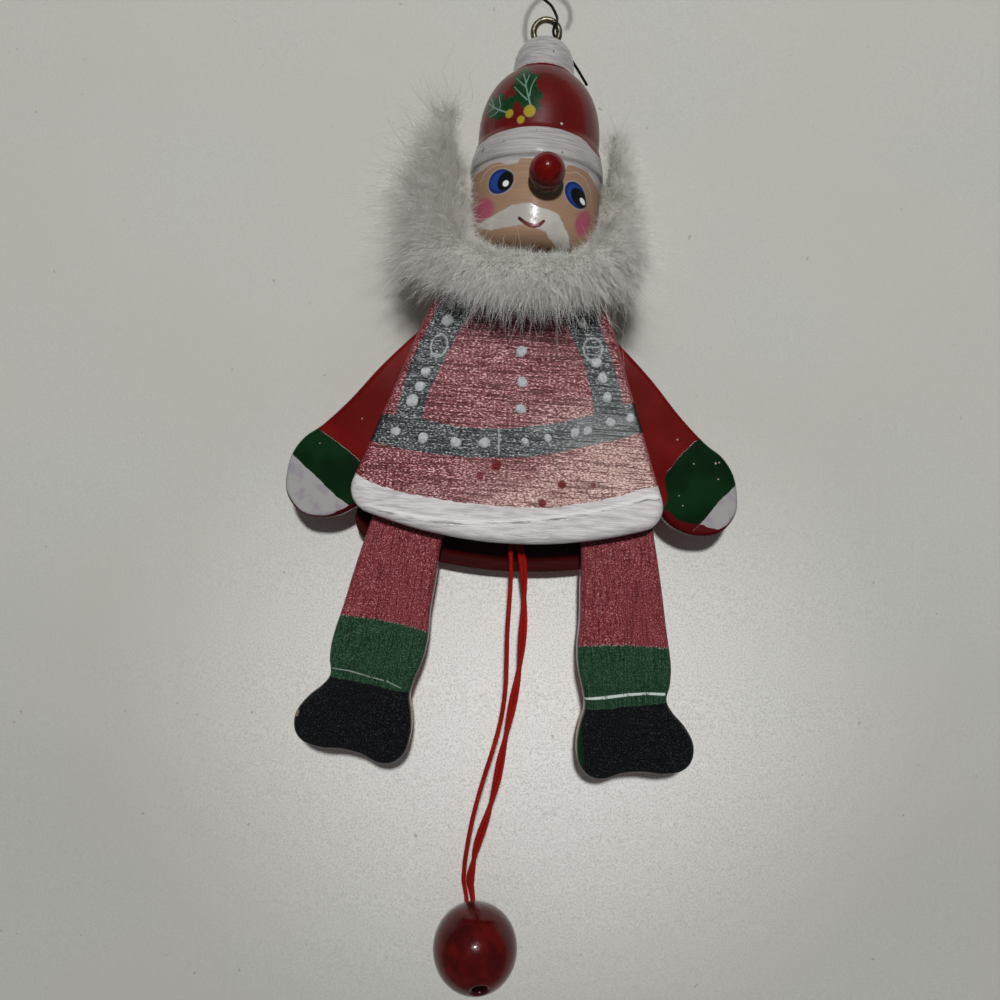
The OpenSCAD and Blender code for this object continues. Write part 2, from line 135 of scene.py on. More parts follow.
# %% The finish that holds the nodes
class Finish:
    """A material under construction, or the world; colour is what is painted so far."""

    def __init__(self, name, owner=None):
        self.owner = owner or bpy.data.materials.new(name)
        self.owner.use_nodes = True
        self.tree = self.owner.node_tree
        self.tree.nodes.clear()
        self.colour = None

    def node(self, kind, inputs, output=0, points=(), **settings):
        made = self.tree.nodes.new(kind)
        row, column = divmod(len(self.tree.nodes), 24)
        made.location = (180 * column, -160 * row)
        for name, value in settings.items():
            setattr(made, name, value)
        if points:
            line = made.mapping.curves[0]
            for x, y in points[1:-1]:
                line.points.new(x, y)
            for point, (x, y) in zip(line.points, points):
                point.location = (x, y)
                point.handle_type = "AUTO"
            made.mapping.update()
        for key, value in inputs.items():
            if isinstance(value, Wire):
                self.tree.links.new(value.socket, made.inputs[key])
            else:
                made.inputs[key].default_value = value
        return None if output is None else Wire(self, made.outputs[output])

    def outputs(self, wire):
        """Every output of the node that a wire comes from."""
        return [Wire(self, socket) for socket in wire.socket.node.outputs]

    def maths(self, operation, *values, clamped=False):
        return self.node("ShaderNodeMath", dict(enumerate(values)), operation=operation,
                         use_clamp=clamped)

    def vector(self, operation, *values, output=0):
        return self.node("ShaderNodeVectorMath", dict(enumerate(values)), output,
                         operation=operation)

    def scaled(self, vector, share):
        return self.node("ShaderNodeVectorMath", {0: vector, "Scale": share},
                         operation="SCALE")

    def place(self):
        """Where a point of the surface lies on the toy, in millimetres."""
        return self.scaled(self.node("ShaderNodeTexCoord", {}, "Object"), 1 / MM)

    def facing(self):
        """The surface's own direction, which stays with the piece as it swings."""
        return self.parts(self.node("ShaderNodeTexCoord", {}, "Normal"))

    def parts(self, vector):
        return self.outputs(self.node("ShaderNodeSeparateXYZ", {0: vector}))

    def joined(self, x, y, z=0.0):
        return self.node("ShaderNodeCombineXYZ", {0: x, 1: y, 2: z})

    def noise(self, vector, scale, detail=2.0, roughness=0.5, stretch=None):
        if stretch:
            vector = self.vector("MULTIPLY", vector, stretch)
        return self.node("ShaderNodeTexNoise", {"Vector": vector, "Scale": scale,
                         "Detail": detail, "Roughness": roughness})

    def wander(self, point, scale, detail, reach):
        """An unsteady hand: noise that strays up to half of reach either way."""
        return (self.noise(point, scale, detail) - 0.5) * reach

    def fade(self, value, nought, one):
        """0 at nought, 1 at one, and smooth between them."""
        return self.node("ShaderNodeMapRange", {"Value": value, "From Min": nought,
                         "From Max": one}, interpolation_type="SMOOTHSTEP")

    def mix(self, share, below, above):
        return self.node("ShaderNodeMix", {0: share, 6: below, 7: above}, output=2,
                         data_type="RGBA")

    def shade(self, value, nought, one, below, above):
        """One colour that fades into another as value goes from nought to one."""
        return self.mix(self.fade(value, nought, one), below, above)

    def lay(self, share, colour):
        """Paints a colour over what is there, as thickly as share says."""
        self.colour = self.mix(share, self.colour, colour)

    def along(self, value, points):
        """A smooth line through points, read at value."""
        xs, ys = zip(*points)
        low, high = min(ys), max(ys)
        even = [((x - xs[0]) / (xs[-1] - xs[0]), (y - low) / (high - low)) for x, y in points]
        share = self.node("ShaderNodeMapRange", {"Value": value, "From Min": xs[0],
                          "From Max": xs[-1]})
        line = self.node("ShaderNodeFloatCurve", {"Value": share}, points=even)
        return line * (high - low) + low

    def oval(self, across, upward, centre, first, second, soft):
        """1 inside an oval with half axes first and second, 0 outside it."""
        det = first[0] * second[1] - first[1] * second[0]
        x = across - centre[0]
        y = upward - centre[1]
        u = x * (second[1] / det) - y * (second[0] / det)
        v = y * (first[0] / det) - x * (first[1] / det)
        return self.fade((u * u + v * v) ** 0.5, 1 + soft, 1 - soft)

    def disc(self, across, upward, centre, r, soft):
        return self.oval(across, upward, centre, (r, 0), (0, r), soft)

    def stroke(self, point, start, end):
        """How far a point lies outside a tapering stroke of [x, y, half width] ends."""
        way = Vector((end[0] - start[0], end[1] - start[1], 0))
        reach = self.vector("SUBTRACT", point, (start[0], start[1], 0))
        ahead = self.vector("DOT_PRODUCT", reach, tuple(way), output="Value")
        share = self.maths("MULTIPLY", ahead, 1 / way.length_squared, clamped=True)
        foot = self.scaled(tuple(way), share)
        off = self.vector("LENGTH", self.vector("SUBTRACT", reach, foot), output="Value")
        return off - (share * (end[2] - start[2]) + start[2])

    def strokes(self, point, line, soft):
        """1 on a brushed line of [x, y, half width] points, 0 off it."""
        gaps = [self.stroke(point, start, end) for start, end in zip(line, line[1:])]
        return self.fade(self.choose("MINIMUM", *gaps), soft, -soft)

    def choose(self, operation, *values):
        result = values[0]
        for value in values[1:]:
            result = self.maths(operation, result, value)
        return result

    def most(self, *masks):
        return self.choose("MAXIMUM", *masks)

    def bump(self, height, depth):
        """Relief: height from 0 to 1 stands for depth in millimetres."""
        return self.node("ShaderNodeBump", {"Height": height, "Distance": depth * MM,
                         "Strength": 1.0})

    def shader(self, **sockets):
        """The surface shader; socket names are written with _ for each space."""
        if self.colour:
            sockets["Base_Color"] = self.colour
        inputs = {name.replace("_", " "): value for name, value in sockets.items()}
        surface = self.node("ShaderNodeBsdfPrincipled", inputs)
        self.node("ShaderNodeOutputMaterial", {"Surface": surface}, output=None)
        return self.owner


print("the finish class is ready")

# %% [markdown]
# Colours are written as they look on the screen, because that is how they are judged. A
# shader works with amounts of light, so each one is converted. The plainest finish is one
# colour that clouds into another.

# %% Colours and plain finishes
def ink(*screen):
    """A colour written as it looks on screen, 0 to 255, as the shader wants it."""
    shares = [value / 255 for value in screen]
    return (*[share / 12.92 if share <= 0.04045 else ((share + 0.055) / 1.055) ** 2.4
              for share in shares], 1.0)


def clouded(name, noise, shares, dark, light, depth, **sockets):
    """A plain finish whose colour and relief follow one cloudy noise."""
    plain = Finish(name)
    cloud = plain.noise(plain.place(), *noise)
    plain.colour = plain.shade(cloud, *shares, dark, light)
    return plain.shader(Normal=plain.bump(cloud, depth), **sockets)


print("a middle grey is", round(ink(128)[0], 3))

# %% [markdown]
# ## Light and backdrop
#
# The toy lay on a pale laminate top under one small lamp above it, which gives short crisp
# shadows and a glint on each round piece. The key lamp stands in that direction, about 21
# degrees up, and its size gives the shadows their narrow soft border. A small lamp in the
# same direction is seen only in reflections and gives the glints. The world fills the rest
# evenly, so a colour renders about as it is written. One lamp behind lights the toy's back
# for the views from there.

# %% Lamps
LAMPS = (
    dict(name="key", at=(0.0, -1.07, 0.30), aim=(0, 0, -0.11), size=0.10, power=10.2,
         diffuse=True, glossy=False),
    dict(name="glint", at=(0.0, -1.07, 0.385), aim=(0, 0, -0.05), size=0.08, power=4.5,
         diffuse=False, glossy=True),
    dict(name="behind", at=(0, 1.0, -0.08), aim=(0, 0, -0.1), size=0.6, power=5.0,
         diffuse=True, glossy=True))

for facts in LAMPS:
    lamp_data = bpy.data.lights.new(facts["name"], "AREA")
    lamp_data.shape = "DISK"
    lamp_data.size = facts["size"]
    lamp_data.energy = facts["power"]
    lamp = shown(facts["name"], lamp_data)
    lamp.location = facts["at"]
    way = Vector(facts["aim"]) - Vector(facts["at"])
    lamp.rotation_euler = way.to_track_quat("-Z", "Y").to_euler()
    lamp.visible_diffuse = facts["diffuse"]
    lamp.visible_glossy = facts["glossy"]
print(len(LAMPS), "lamps")

# %% [markdown]
# The camera sees the table's colour in every direction. Shiny and clear pieces see it too,
# but only where they face the table behind the toy. Towards the viewer they see the dim
# room, as the real ones did.

# %% What the camera and the shiny pieces see of the room
WORLD_LEVEL = 0.085
TABLE_COLOUR = ink(184, 184, 177)
room = Finish("studio", bpy.data.worlds.new("studio"))
rays = {ray.socket.name: ray for ray in room.outputs(room.node("ShaderNodeLightPath", {}))}
towards = room.parts(room.node("ShaderNodeTexCoord", {}, "Generated"))[1]
behind = room.node("ShaderNodeMapRange", {"Value": towards, "From Min": 0.0, "From Max": 0.3})
shiny = room.most(rays["Is Glossy Ray"], rays["Is Transmission Ray"]) * behind
dim = room.node("ShaderNodeBackground", {"Color": (1, 1, 1, 1), "Strength": WORLD_LEVEL})
table = room.node("ShaderNodeBackground", {"Color": TABLE_COLOUR})
seen = room.node("ShaderNodeMixShader", {0: room.most(rays["Is Camera Ray"], shiny), 1: dim,
                 2: table})
room.node("ShaderNodeOutputWorld", {"Surface": seen}, output=None)
bpy.context.scene.world = room.owner
bpy.context.scene.view_settings.view_transform = "Standard"
print("the room is lit at", WORLD_LEVEL)

# %% [markdown]
# The backdrop is a stiff sheet just behind the toy, in the table's place. The table touched
# the back board's foot and the boots, and the bead lay on it, so the sheet follows them in
# one gentle curve. It catches the shadows, but light passes it to reach the toy's back.

# %% Backdrop
SHEET_LINE = [(1500, 17.6), (-20, 17.4), (-33, 16.9), (-80, 12.9), (-118, 9.9),
              (-140, 8.7), (-160, 8.6), (-186, 9.4), (-214, 11.6), (-230, 12.4),
              (-260, 12.8), (-1500, 14.0)]
SHEET_HALF_W = 1500.0
SHEET_SMOOTHINGS = 14

heights, depths = np.array(SHEET_LINE, float).T
sheet_z = np.concatenate([[SHEET_HALF_W], np.linspace(0, -290, 120), [-SHEET_HALF_W]])
sheet_y = np.interp(-sheet_z, -heights, depths)
for _ in range(SHEET_SMOOTHINGS):
    sheet_y[1:-1] = (sheet_y[:-2] + 2 * sheet_y[1:-1] + sheet_y[2:]) / 4
corners = [(x * MM, y * MM, z * MM) for z, y in zip(sheet_z, sheet_y)
           for x in (-SHEET_HALF_W, SHEET_HALF_W)]
sheet_faces = [(2 * k + 1, 2 * k, 2 * k + 2, 2 * k + 3) for k in range(len(sheet_z) - 1)]
sheet_mesh = bpy.data.meshes.new("backdrop")
sheet_mesh.from_pydata(corners, [], sheet_faces)
for quad in sheet_mesh.polygons:
    quad.use_smooth = True
backdrop = shown("backdrop", sheet_mesh)
backdrop.visible_diffuse = False
backdrop.visible_shadow = False
print("sheet faces the viewer:", sheet_mesh.polygons[20].normal.y < 0)

# %% [markdown]
# The laminate is smooth and faintly speckled. The light's broad reflection lies on it
# between and below the legs, and its speckle shows there. It is drawn as a paler patch, so
# that it stays in its place in other views.

# %% Laminate
laminate = Finish("pale laminate")
spot = laminate.place()
x, y, z = laminate.parts(spot)
fine = laminate.noise(spot, 2.2, 3, 0.7)
broad = laminate.noise(spot, 0.02, 2)
patch = laminate.oval(x, z, (7, -172), (60, 0), (0, 50), 0.99)
speck = laminate.fade(laminate.noise(spot, 0.6, 0), 0.87, 0.9)
laminate.colour = laminate.shade(fine, 0.3, 0.7, ink(186, 186, 179), ink(196, 196, 190))
laminate.lay(laminate.fade(broad, 0.35, 0.65) * 0.5, ink(192, 188, 180))
laminate.lay(patch, laminate.shade(fine, 0.32, 0.6, ink(212, 211, 205), ink(252, 251, 247)))
laminate.lay(speck * 0.5, ink(140, 136, 128))
sheet_face = laminate.node("ShaderNodeBsdfPrincipled", {
    "Base Color": laminate.colour, "Roughness": 0.6, "Specular IOR Level": 0.2,
    "Normal": laminate.bump(fine, 0.03)})
away = laminate.node("ShaderNodeNewGeometry", {}, "Backfacing")
clear = laminate.node("ShaderNodeBsdfTransparent", {})
seen = laminate.node("ShaderNodeMixShader", {0: away, 1: sheet_face, 2: clear})
laminate.node("ShaderNodeOutputMaterial", {"Surface": seen}, output=None)
sheet_mesh.materials.append(laminate.owner)
print("the stage is set")

# %% [markdown]
# ## The cords
#
# The pull is cheap red thread: two strings twisted together, with a third hanging loose
# beside them. Each string is itself three plies laid round each other. A plain tube would
# look like plastic, so every ply is its own fine tube that winds about the string's line.

# %% Routes of the two free cords, in millimetres
CORD_ROUTE = [
    (1, 1.9, -119.2), (1.1, 1.9, -122), (2, 1.6, -127), (3.2, 1.4, -132), (4, 1.2, -138),
    (4.4, 1, -145), (4.4, 0.8, -152), (4.1, 0.8, -159), (3.3, 0.8, -166), (2.3, 0.6, -173),
    (1.3, 0.4, -180), (0.4, 0.4, -187), (-1, 0.8, -194), (-2.4, 1.7, -199.6),
    (-3.4, 3.2, -204.2), (-3.9, 5.3, -208.6), (-4.2, 7.6, -212.3), (-4.3, 9.7, -215.2),
    (-4.1, 10.4, -216.8), (-3.7, 10.5, -218.3), (-3.3, 9.9, -219.8), (-3.1, 8.8, -221),
    (-2.6, 6.6, -222.4), (-2, 3.4, -224.6), (-1.1, -0.7, -227.4)]
STRAND_ROUTE = [
    (-0.6, 1.9, -119.2), (-0.6, 1.4, -122), (-0.2, 0.4, -126), (0.1, -0.2, -130),
    (0.5, -0.4, -135), (0.6, -0.4, -142), (0.6, -0.4, -149), (0.9, -0.4, -156),
    (1.1, -0.6, -163), (0.6, -0.8, -170), (-0.7, -1, -177), (-2.4, -0.8, -184),
    (-3.9, 0, -191), (-4.9, 1, -197), (-5.5, 2.6, -202.5), (-5.9, 4.8, -207.6),
    (-6, 7.2, -211.6), (-6, 9.5, -214.9), (-5.7, 10.4, -216.8), (-5.3, 10.5, -218.3),
    (-4.9, 9.9, -219.8), (-4.7, 8.8, -221), (-4.2, 6.6, -222.4), (-3.6, 3.4, -224.6),
    (-2.7, -0.7, -227.4)]
STRING_R = 0.5
DRAWN_R = 0.62
PLY_PITCH = 2.1
PLY_SHARE = 0.475
CORD_PITCH = 34.0
print("the routes hold", len(CORD_ROUTE), "and", len(STRAND_ROUTE), "points")

# %% [markdown]
# A hanging thread has no corners, so its route is a smooth curve through the points. The
# plies need two directions square to that curve. These are carried along from point to
# point, because directions taken afresh from the world's axes would flip in the bends.

# %% Smooth lines and the directions beside them
def through(a, b, c, d, share):
    """The curve from b to c at a share of the way, where a comes before and d after."""
    return (2 * b + (c - a) * share + (2 * a - 5 * b + 4 * c - d) * share**2
            + (3 * b - a - 3 * c + d) * share**3) / 2


def run_of(points):
    """How far along its line each point lies."""
    return np.concatenate([[0], np.cumsum(np.linalg.norm(np.diff(points, axis=0), axis=1))])


def read_at(places, points):
    """The line's points at given distances along it."""
    run = run_of(points)
    return np.stack([np.interp(places, run, column) for column in points.T], axis=1)


def smooth_path(route, spacing):
    """Points at an even spacing on one smooth curve through the route."""
    p = np.array(route, float)
    p = np.vstack([2 * p[0] - p[1], p, 2 * p[-1] - p[-2]])
    share = np.linspace(0, 1, 24, endpoint=False)[:, None]
    pieces = [through(*near, share) for near in zip(p, p[1:], p[2:], p[3:])]
    dense = np.vstack(pieces + [p[-2]])
    end = run_of(dense)[-1]
    return read_at(np.linspace(0, end, int(end / spacing) + 1), dense)


def unit(ways):
    return ways / np.linalg.norm(ways, axis=1)[:, None]


def path_frames(points):
    """Two directions square to the path at each point, with no sudden turns."""
    along = unit(np.gradient(points, axis=0))
    first = np.cross(along[0], [0.3, 1.0, 0.1])
    firsts = []
    for direction in along:
        first = first - direction * (first @ direction)
        first = first / np.linalg.norm(first)
        firsts.append(first)
    firsts = np.array(firsts)
    return firsts, np.cross(along, firsts)


def wound(points, radius, pitch, start):
    """A line that winds round the path at a radius, once per pitch."""
    u, v = path_frames(points)
    step = np.linalg.norm(np.diff(points, axis=0), axis=1).mean()
    turn = (start + 2 * math.pi * step / pitch * np.arange(len(points)))[:, None]
    return points + radius * (u * np.cos(turn) + v * np.sin(turn))


print("lines can be drawn")

# %% [markdown]
# Nearly every shape of this toy is a row of rings of corners, joined by four-sided faces. A
# tube, a turning and a sawn plate differ only in their rings, so they share these helpers.
# Blender's own cylinders and balls would first have to be cut and joined.

# %% Rings of corners, tubes and pieces
def quads(rings, around, closed=False):
    """Faces between neighbouring rings of corners; closed joins the last to the first."""
    k = np.arange(rings if closed else rings - 1)[:, None]
    i = np.arange(around)[None, :]
    row, above, after = k * around, (k + 1) % rings * around, (i + 1) % around
    return np.stack([row + i, row + after, above + after, above + i], axis=-1).reshape(-1, 4)


def capped(rings, around):
    """The same faces, with one more to close each end."""
    end = (rings - 1) * around
    return quads(rings, around).tolist() + [list(range(around)), list(range(end, end + around))]


def hoops(u, v, sides):
    """Directions all round each point of a path."""
    turn = np.arange(sides) / sides * 2 * math.pi
    return u[:, None] * np.cos(turn)[None, :, None] + v[:, None] * np.sin(turn)[None, :, None]


def tube(points, radius, sides=6):
    """Corners and faces of a round tube; radius may be one number or one for each point."""
    radius = np.broadcast_to(radius, len(points))[:, None, None]
    corners = points[:, None] + hoops(*path_frames(points), sides) * radius
    return corners.reshape(-1, 3), capped(len(points), sides)


def merged(parts):
    """One list of corners and one of faces from several shapes."""
    corners, faces, start = [], [], 0
    for part_corners, part_faces in parts:
        corners.append(part_corners)
        faces += [[corner + start for corner in face] for face in part_faces]
        start += len(part_corners)
    return np.vstack(corners), faces


def piece(name, corners, faces, body, slot, material, replaces=()):
    """A mesh piece from corners in millimetres, tidied, smooth and riding on its body."""
    mesh = bpy.data.meshes.new(name)
    mesh.from_pydata((np.asarray(corners) * MM).tolist(), [], faces)
    shape = bmesh.new()
    shape.from_mesh(mesh)
    bmesh.ops.recalc_face_normals(shape, faces=shape.faces)
    for face in shape.faces:
        face.smooth = True
    shape.to_mesh(mesh)
    shape.free()
    made = shown(name, mesh)
    mesh.materials.append(material)
    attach(made, body)
    if replaces:
        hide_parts(*replaces)
    return made


def string_plies(line, start=0.0):
    """The three plies of one string that follows a line."""
    ply_r = DRAWN_R * PLY_SHARE
    return [tube(wound(line, DRAWN_R - ply_r, PLY_PITCH, start + turn), ply_r)
            for turn in (0, 2 * math.pi / 3, 4 * math.pi / 3)]


print("tubes and pieces can be made")

# %% [markdown]
# The thread's colour is a strong warm red. Its plies are separate shapes, so the finish
# only adds fine fibres along them and some fading where the thread has been handled.

# %% Thread finish and the cords
def thread(name, dark, light):
    finish = Finish(name)
    spot = finish.place()
    fibres = finish.noise(spot, 3.0, 3, 0.7)
    faded = finish.noise(spot, 0.09, 2)
    finish.colour = finish.shade(fibres, 0.3, 0.7, dark, light)
    finish.lay(finish.fade(faded, 0.45, 0.75) * 0.3, ink(190, 40, 30))
    return finish.shader(Roughness=finish.fade(fibres, 0, 1) * 0.2 + 0.6,
                         Normal=finish.bump(fibres, 0.05), Specular_IOR_Level=0.3)


red_thread = thread("red thread", ink(116, 8, 6), ink(172, 22, 14))
PLY_SPACING = 0.24
cord_line = smooth_path(CORD_ROUTE, PLY_SPACING)
strand_line = smooth_path(STRAND_ROUTE, PLY_SPACING)
twins = [wound(cord_line, STRING_R, CORD_PITCH, turn) for turn in (0.4, 0.4 + math.pi)]
twisted_cord = piece("twisted_cord", *merged(string_plies(twins[0]) + string_plies(twins[1], 1)),
                     "pull", "pull_cord", red_thread, ["pull_cord"])
loose_strand = piece("loose_strand", *merged(string_plies(strand_line, 2)),
                     "pull", "pull_strand", red_thread, ["pull_strand"])

for made, line, strings in ((twisted_cord, cord_line, 2), (loose_strand, strand_line, 1)):
    print(made.name, round(run_of(line)[-1], 1), "mm")

# %% [markdown]
# ## Sawn boards and limbs
#
# The body and the limbs are fretsawn from thin board and sanded. Each one is a plate: an
# outline, a rounded front edge, a plain side and a flat back. The helper lays rings of
# corners from a line inside the plate out to its edge, so the faces stay square and the
# sanded front can swell a little. A grid would leave steps along the curved edges.

# %% Outlines
BOARD_SHIFT = -1.8
CHIN = -58.8
BOARD_H = 68.8
HEM_HALF_W = 37.6
HEM_R = 108.0
HEM_CORNER_R = 6.0
TOP_CORNER_R = 3.5
SIDE_SLOPE = math.radians(19.8)
BACK_EXTRA = 7.2
HALF_GAP = 3.5
BOARD_T = 4.2
LIMB_T = 4.4


def arc(centre, r, start, end, steps):
    turn = np.linspace(start, end, steps)
    return np.stack([centre[0] + r * np.cos(turn), centre[1] + r * np.sin(turn)], axis=1)


def board_outline(bottom):
    """The coat's shape: a curved hem, round corners, straight sides and a narrow top."""
    corner_x = HEM_HALF_W - HEM_CORNER_R
    reach = HEM_R - HEM_CORNER_R
    hem_y = bottom + HEM_R
    corner_y = hem_y - math.sqrt(reach**2 - corner_x**2)
    out = (math.cos(SIDE_SLOPE), math.sin(SIDE_SLOPE))
    top_y = CHIN - TOP_CORNER_R
    top_x = (out[0] * corner_x + out[1] * corner_y + HEM_CORNER_R - TOP_CORNER_R
             - out[1] * top_y) / out[0]
    hem_turn = math.asin(corner_x / reach)
    right_half = np.vstack([
        arc((0, hem_y), HEM_R, -math.pi / 2, hem_turn - math.pi / 2, 40),
        arc((corner_x, corner_y), HEM_CORNER_R, hem_turn - math.pi / 2, SIDE_SLOPE, 16),
        arc((top_x, top_y), TOP_CORNER_R, SIDE_SLOPE, math.pi / 2, 12)])
    left_half = right_half[::-1] * (-1, 1)
    return np.vstack([right_half, left_half[:-1]]) + (BOARD_SHIFT, 0)


def smooth_loop(points, steps=14):
    """A closed curve through all its points."""
    p = np.array(points, float)
    near = [np.roll(p, shift, 0)[:, None] for shift in (1, 0, -1, -2)]
    return through(*near, (np.arange(steps) / steps)[None, :, None]).reshape(-1, 2)


def even_loop(points, spacing):
    """The same closed line with its points at an even spacing."""
    closed = np.vstack([points, points[:1]])
    end = run_of(closed)[-1]
    return read_at(np.linspace(0, end, int(end / spacing), endpoint=False), closed)


def drawn_in(outline, distance):
    """The outline moved inwards, each point along the mean of its neighbours' normals."""
    way = unit(np.roll(outline, -2, 0) - np.roll(outline, 2, 0))
    area = np.sum(outline[:, 0] * np.roll(outline[:, 1], -1)
                  - outline[:, 1] * np.roll(outline[:, 0], -1))
    inwards = np.stack([-way[:, 1], way[:, 0]], axis=1) * np.sign(area)
    return outline + inwards * distance


print("the coat's outline has", len(board_outline(CHIN - BOARD_H)), "points")

# %% [markdown]
# A plate's rings run from a line in its middle out to its edge, round the sanded corner and
# back in behind. Its front rises and falls a little. Holes are cut afterwards with a
# Boolean, as a drill does it, because rings can't go round a hole.

# %% Plates
def spine_foot(outline, spine):
    """The nearest point of the spine, a line of two ends, for each point of the outline."""
    start, end = np.array(spine, float)
    way = end - start
    return start + np.clip((outline - start) @ way / (way @ way), 0, 1)[:, None] * way


def swell(x, z, size, seed):
    """Gentle uneven relief between about -1 and 1, as hand sanding leaves it."""
    random = np.random.default_rng(seed)
    total = np.zeros_like(x)
    for _ in range(7):
        turn, phase = random.uniform(0, 2 * math.pi, 2)
        wave = 2 * math.pi / (size * random.uniform(0.7, 1.6))
        total += np.sin(wave * (x * math.cos(turn) + z * math.sin(turn)) + phase)
    return total / 4


def plate(outline, spine, front, back, front_round, back_round, relief, inner=26):
    """Corners [x, y, z] and faces of a plate that stands in the XZ plane."""
    quarter = np.linspace(0, math.pi / 2, 8)
    layers = [(front_round, share, front) for share in np.linspace(0.03, 1, inner)[:-1]]
    layers += [(front_round * (1 - math.sin(a)), 1, front + front_round * (1 - math.cos(a)))
               for a in quarter]
    layers += [(back_round * (1 - math.cos(a)), 1, back - back_round * (1 - math.sin(a)))
               for a in quarter]
    layers += [(back_round, share, back) for share in np.linspace(1, 0.03, 9)[1:]]
    foot = spine_foot(outline, spine)
    rings = []
    for depth, share, y in layers:
        flat = foot + (drawn_in(outline, depth) - foot) * share
        lift = relief * swell(flat[:, 0], flat[:, 1], 16, 3) if y == front else 0
        rings.append(np.stack([flat[:, 0], np.full(len(flat), y) - lift, flat[:, 1]], axis=1))
    return np.vstack(rings), capped(len(rings), len(outline))


def bore(made, holes):
    """Cuts round holes [x, z, radius] along Y through a piece, in millimetres."""
    for x, z, radius in holes:
        bpy.ops.mesh.primitive_cylinder_add(vertices=40, radius=radius * MM, depth=0.03,
                                            location=(x * MM, 0, z * MM),
                                            rotation=(math.pi / 2, 0, 0))
        drill = bpy.context.object
        cut = made.modifiers.new("bore", "BOOLEAN")
        cut.operation = "DIFFERENCE"
        cut.solver = "EXACT"
        cut.object = drill
        graph = bpy.context.evaluated_depsgraph_get()
        drilled = bpy.data.meshes.new_from_object(made.evaluated_get(graph))
        made.modifiers.clear()
        blank = made.data
        made.data = drilled
        drilled.name = made.name
        bpy.data.meshes.remove(blank)
        bpy.data.objects.remove(drill)


print("plates are ready")

# %% [markdown]
# ## Coat paint
#
# The coat's paint is thin and pearly over coarse horizontal grain. Its glints are painted
# highlights in its colour: pale flecks on the highest pebbles, and a paler painted sheen
# towards the lower right. The top, under the fur, is painted duller as painted shade. One
# stretched noise gives the grain: it lightens the ridges, darkens the furrows and drives the
# relief. Straps, belt and hem are masks between smooth lines that were measured across the
# board, and each border wanders a little, as a brush does.

# %% Lines measured on the coat
STRAP_LEFT = ([(-98.7, -29.5), (-91.8, -28.2), (-86.7, -27.0), (-81.6, -25.2), (-76.4, -23.0),
               (-71.7, -21.3), (-64, -18.5)],
              [(-98.5, -23.2), (-93.4, -22.3), (-88.8, -20.6), (-83.6, -18.5), (-78.4, -16.3),
               (-72.7, -13.7), (-64, -10.0)])
STRAP_RIGHT = ([(-98.5, 17.9), (-91.2, 16.7), (-86.8, 15.4), (-82.8, 14.1), (-79.0, 11.8),
                (-74.1, 9.5), (-64, 4.6)],
               [(-98.5, 25.2), (-90.2, 23.6), (-84.8, 21.8), (-79.4, 19.7), (-75.0, 17.6),
                (-69.6, 15.7), (-64, 13.0)])
BELT_TOP = [(-40, -99.3), (-33, -98.8), (-23.2, -99.2), (-15.5, -100.4), (-5.2, -100.3),
            (4.7, -98.8), (13, -96.8), (23.8, -92.9), (36, -88.5)]
BELT_FOOT = [(-40, -104.8), (-33, -105.7), (-25.8, -106.9), (-16, -107.5), (-4.8, -107.3),
             (5, -106), (17.5, -102.7), (29.7, -98.8), (36, -96.5)]
HEM_TOP = [(-41, -112.4), (-38, -113.2), (-35.3, -114.7), (-29.2, -116.5), (-22.6, -117.5),
           (-7, -118.7), (6, -118.5), (13.4, -117.3), (23.3, -114.8), (30.6, -112.2),
           (34, -111.3), (37, -110.4)]
HEM_RIDGE = [(-34, -121.4), (-25.2, -122.8), (-18.7, -123.5), (-8.7, -123.3), (1.3, -122.4),
             (11.2, -120.7), (21, -118.3), (32, -114.6)]

BUCKLES = (((-20.45, -81.5), (2.0, -0.35), (0.6, 2.85)),
           ((16.1, -79.9), (2.35, 0.4), (-0.5, 2.9)))
BUCKLE_BARS = (
    [(-22.2, -83.5, 0.15), (-20.3, -83.7, 0.15)], [(-22.3, -84.2, 0.15), (-20.5, -84.3, 0.12)],
    [(-21.5, -80.6, 0.1), (-20.1, -80.2, 0.12)], [(14.2, -79.4, 0.15), (17.2, -79.4, 0.15)],
    [(14.7, -81.1, 0.1), (17.8, -81.2, 0.1)])
BELT_TONGUE = [(-4.9, -100.6, 0.2), (-4.5, -106.6, 0.16)]
BELT_FRAME = [(3.4, -100.0, 0.12), (5.6, -99.6, 0.14), (8.4, -100.0, 0.1)]
BELT_KEEPER = [(-29.0, -97.6, 0.14), (-26.6, -99.3, 0.14), (-23.6, -99.0, 0.14)]
BLOTS = (((-4.8, -109), 1.15, 1), ((-8.6, -111.9), 0.85, 0.85), ((2.8, -111.8), 0.9, 0.5),
         ((11, -112.6), 1.0, 0.95), ((18.4, -112.2), 0.7, 0.75), ((6.6, -117.2), 0.95, 0.95))
print("the hem's upper line has", len(HEM_TOP), "points")

# %% [markdown]
# The coat is painted in the order of the real one: red cloth and grey leather, the buckles
# drawn in pale paint, the splashes, then the silver hem. The rounded rim and the sides come
# last, where the paint is thin and the wood shows through.

# %% Coat finish
def larger(shape, share):
    centre, first, second = shape
    return centre, [share * k for k in first], [share * k for k in second]


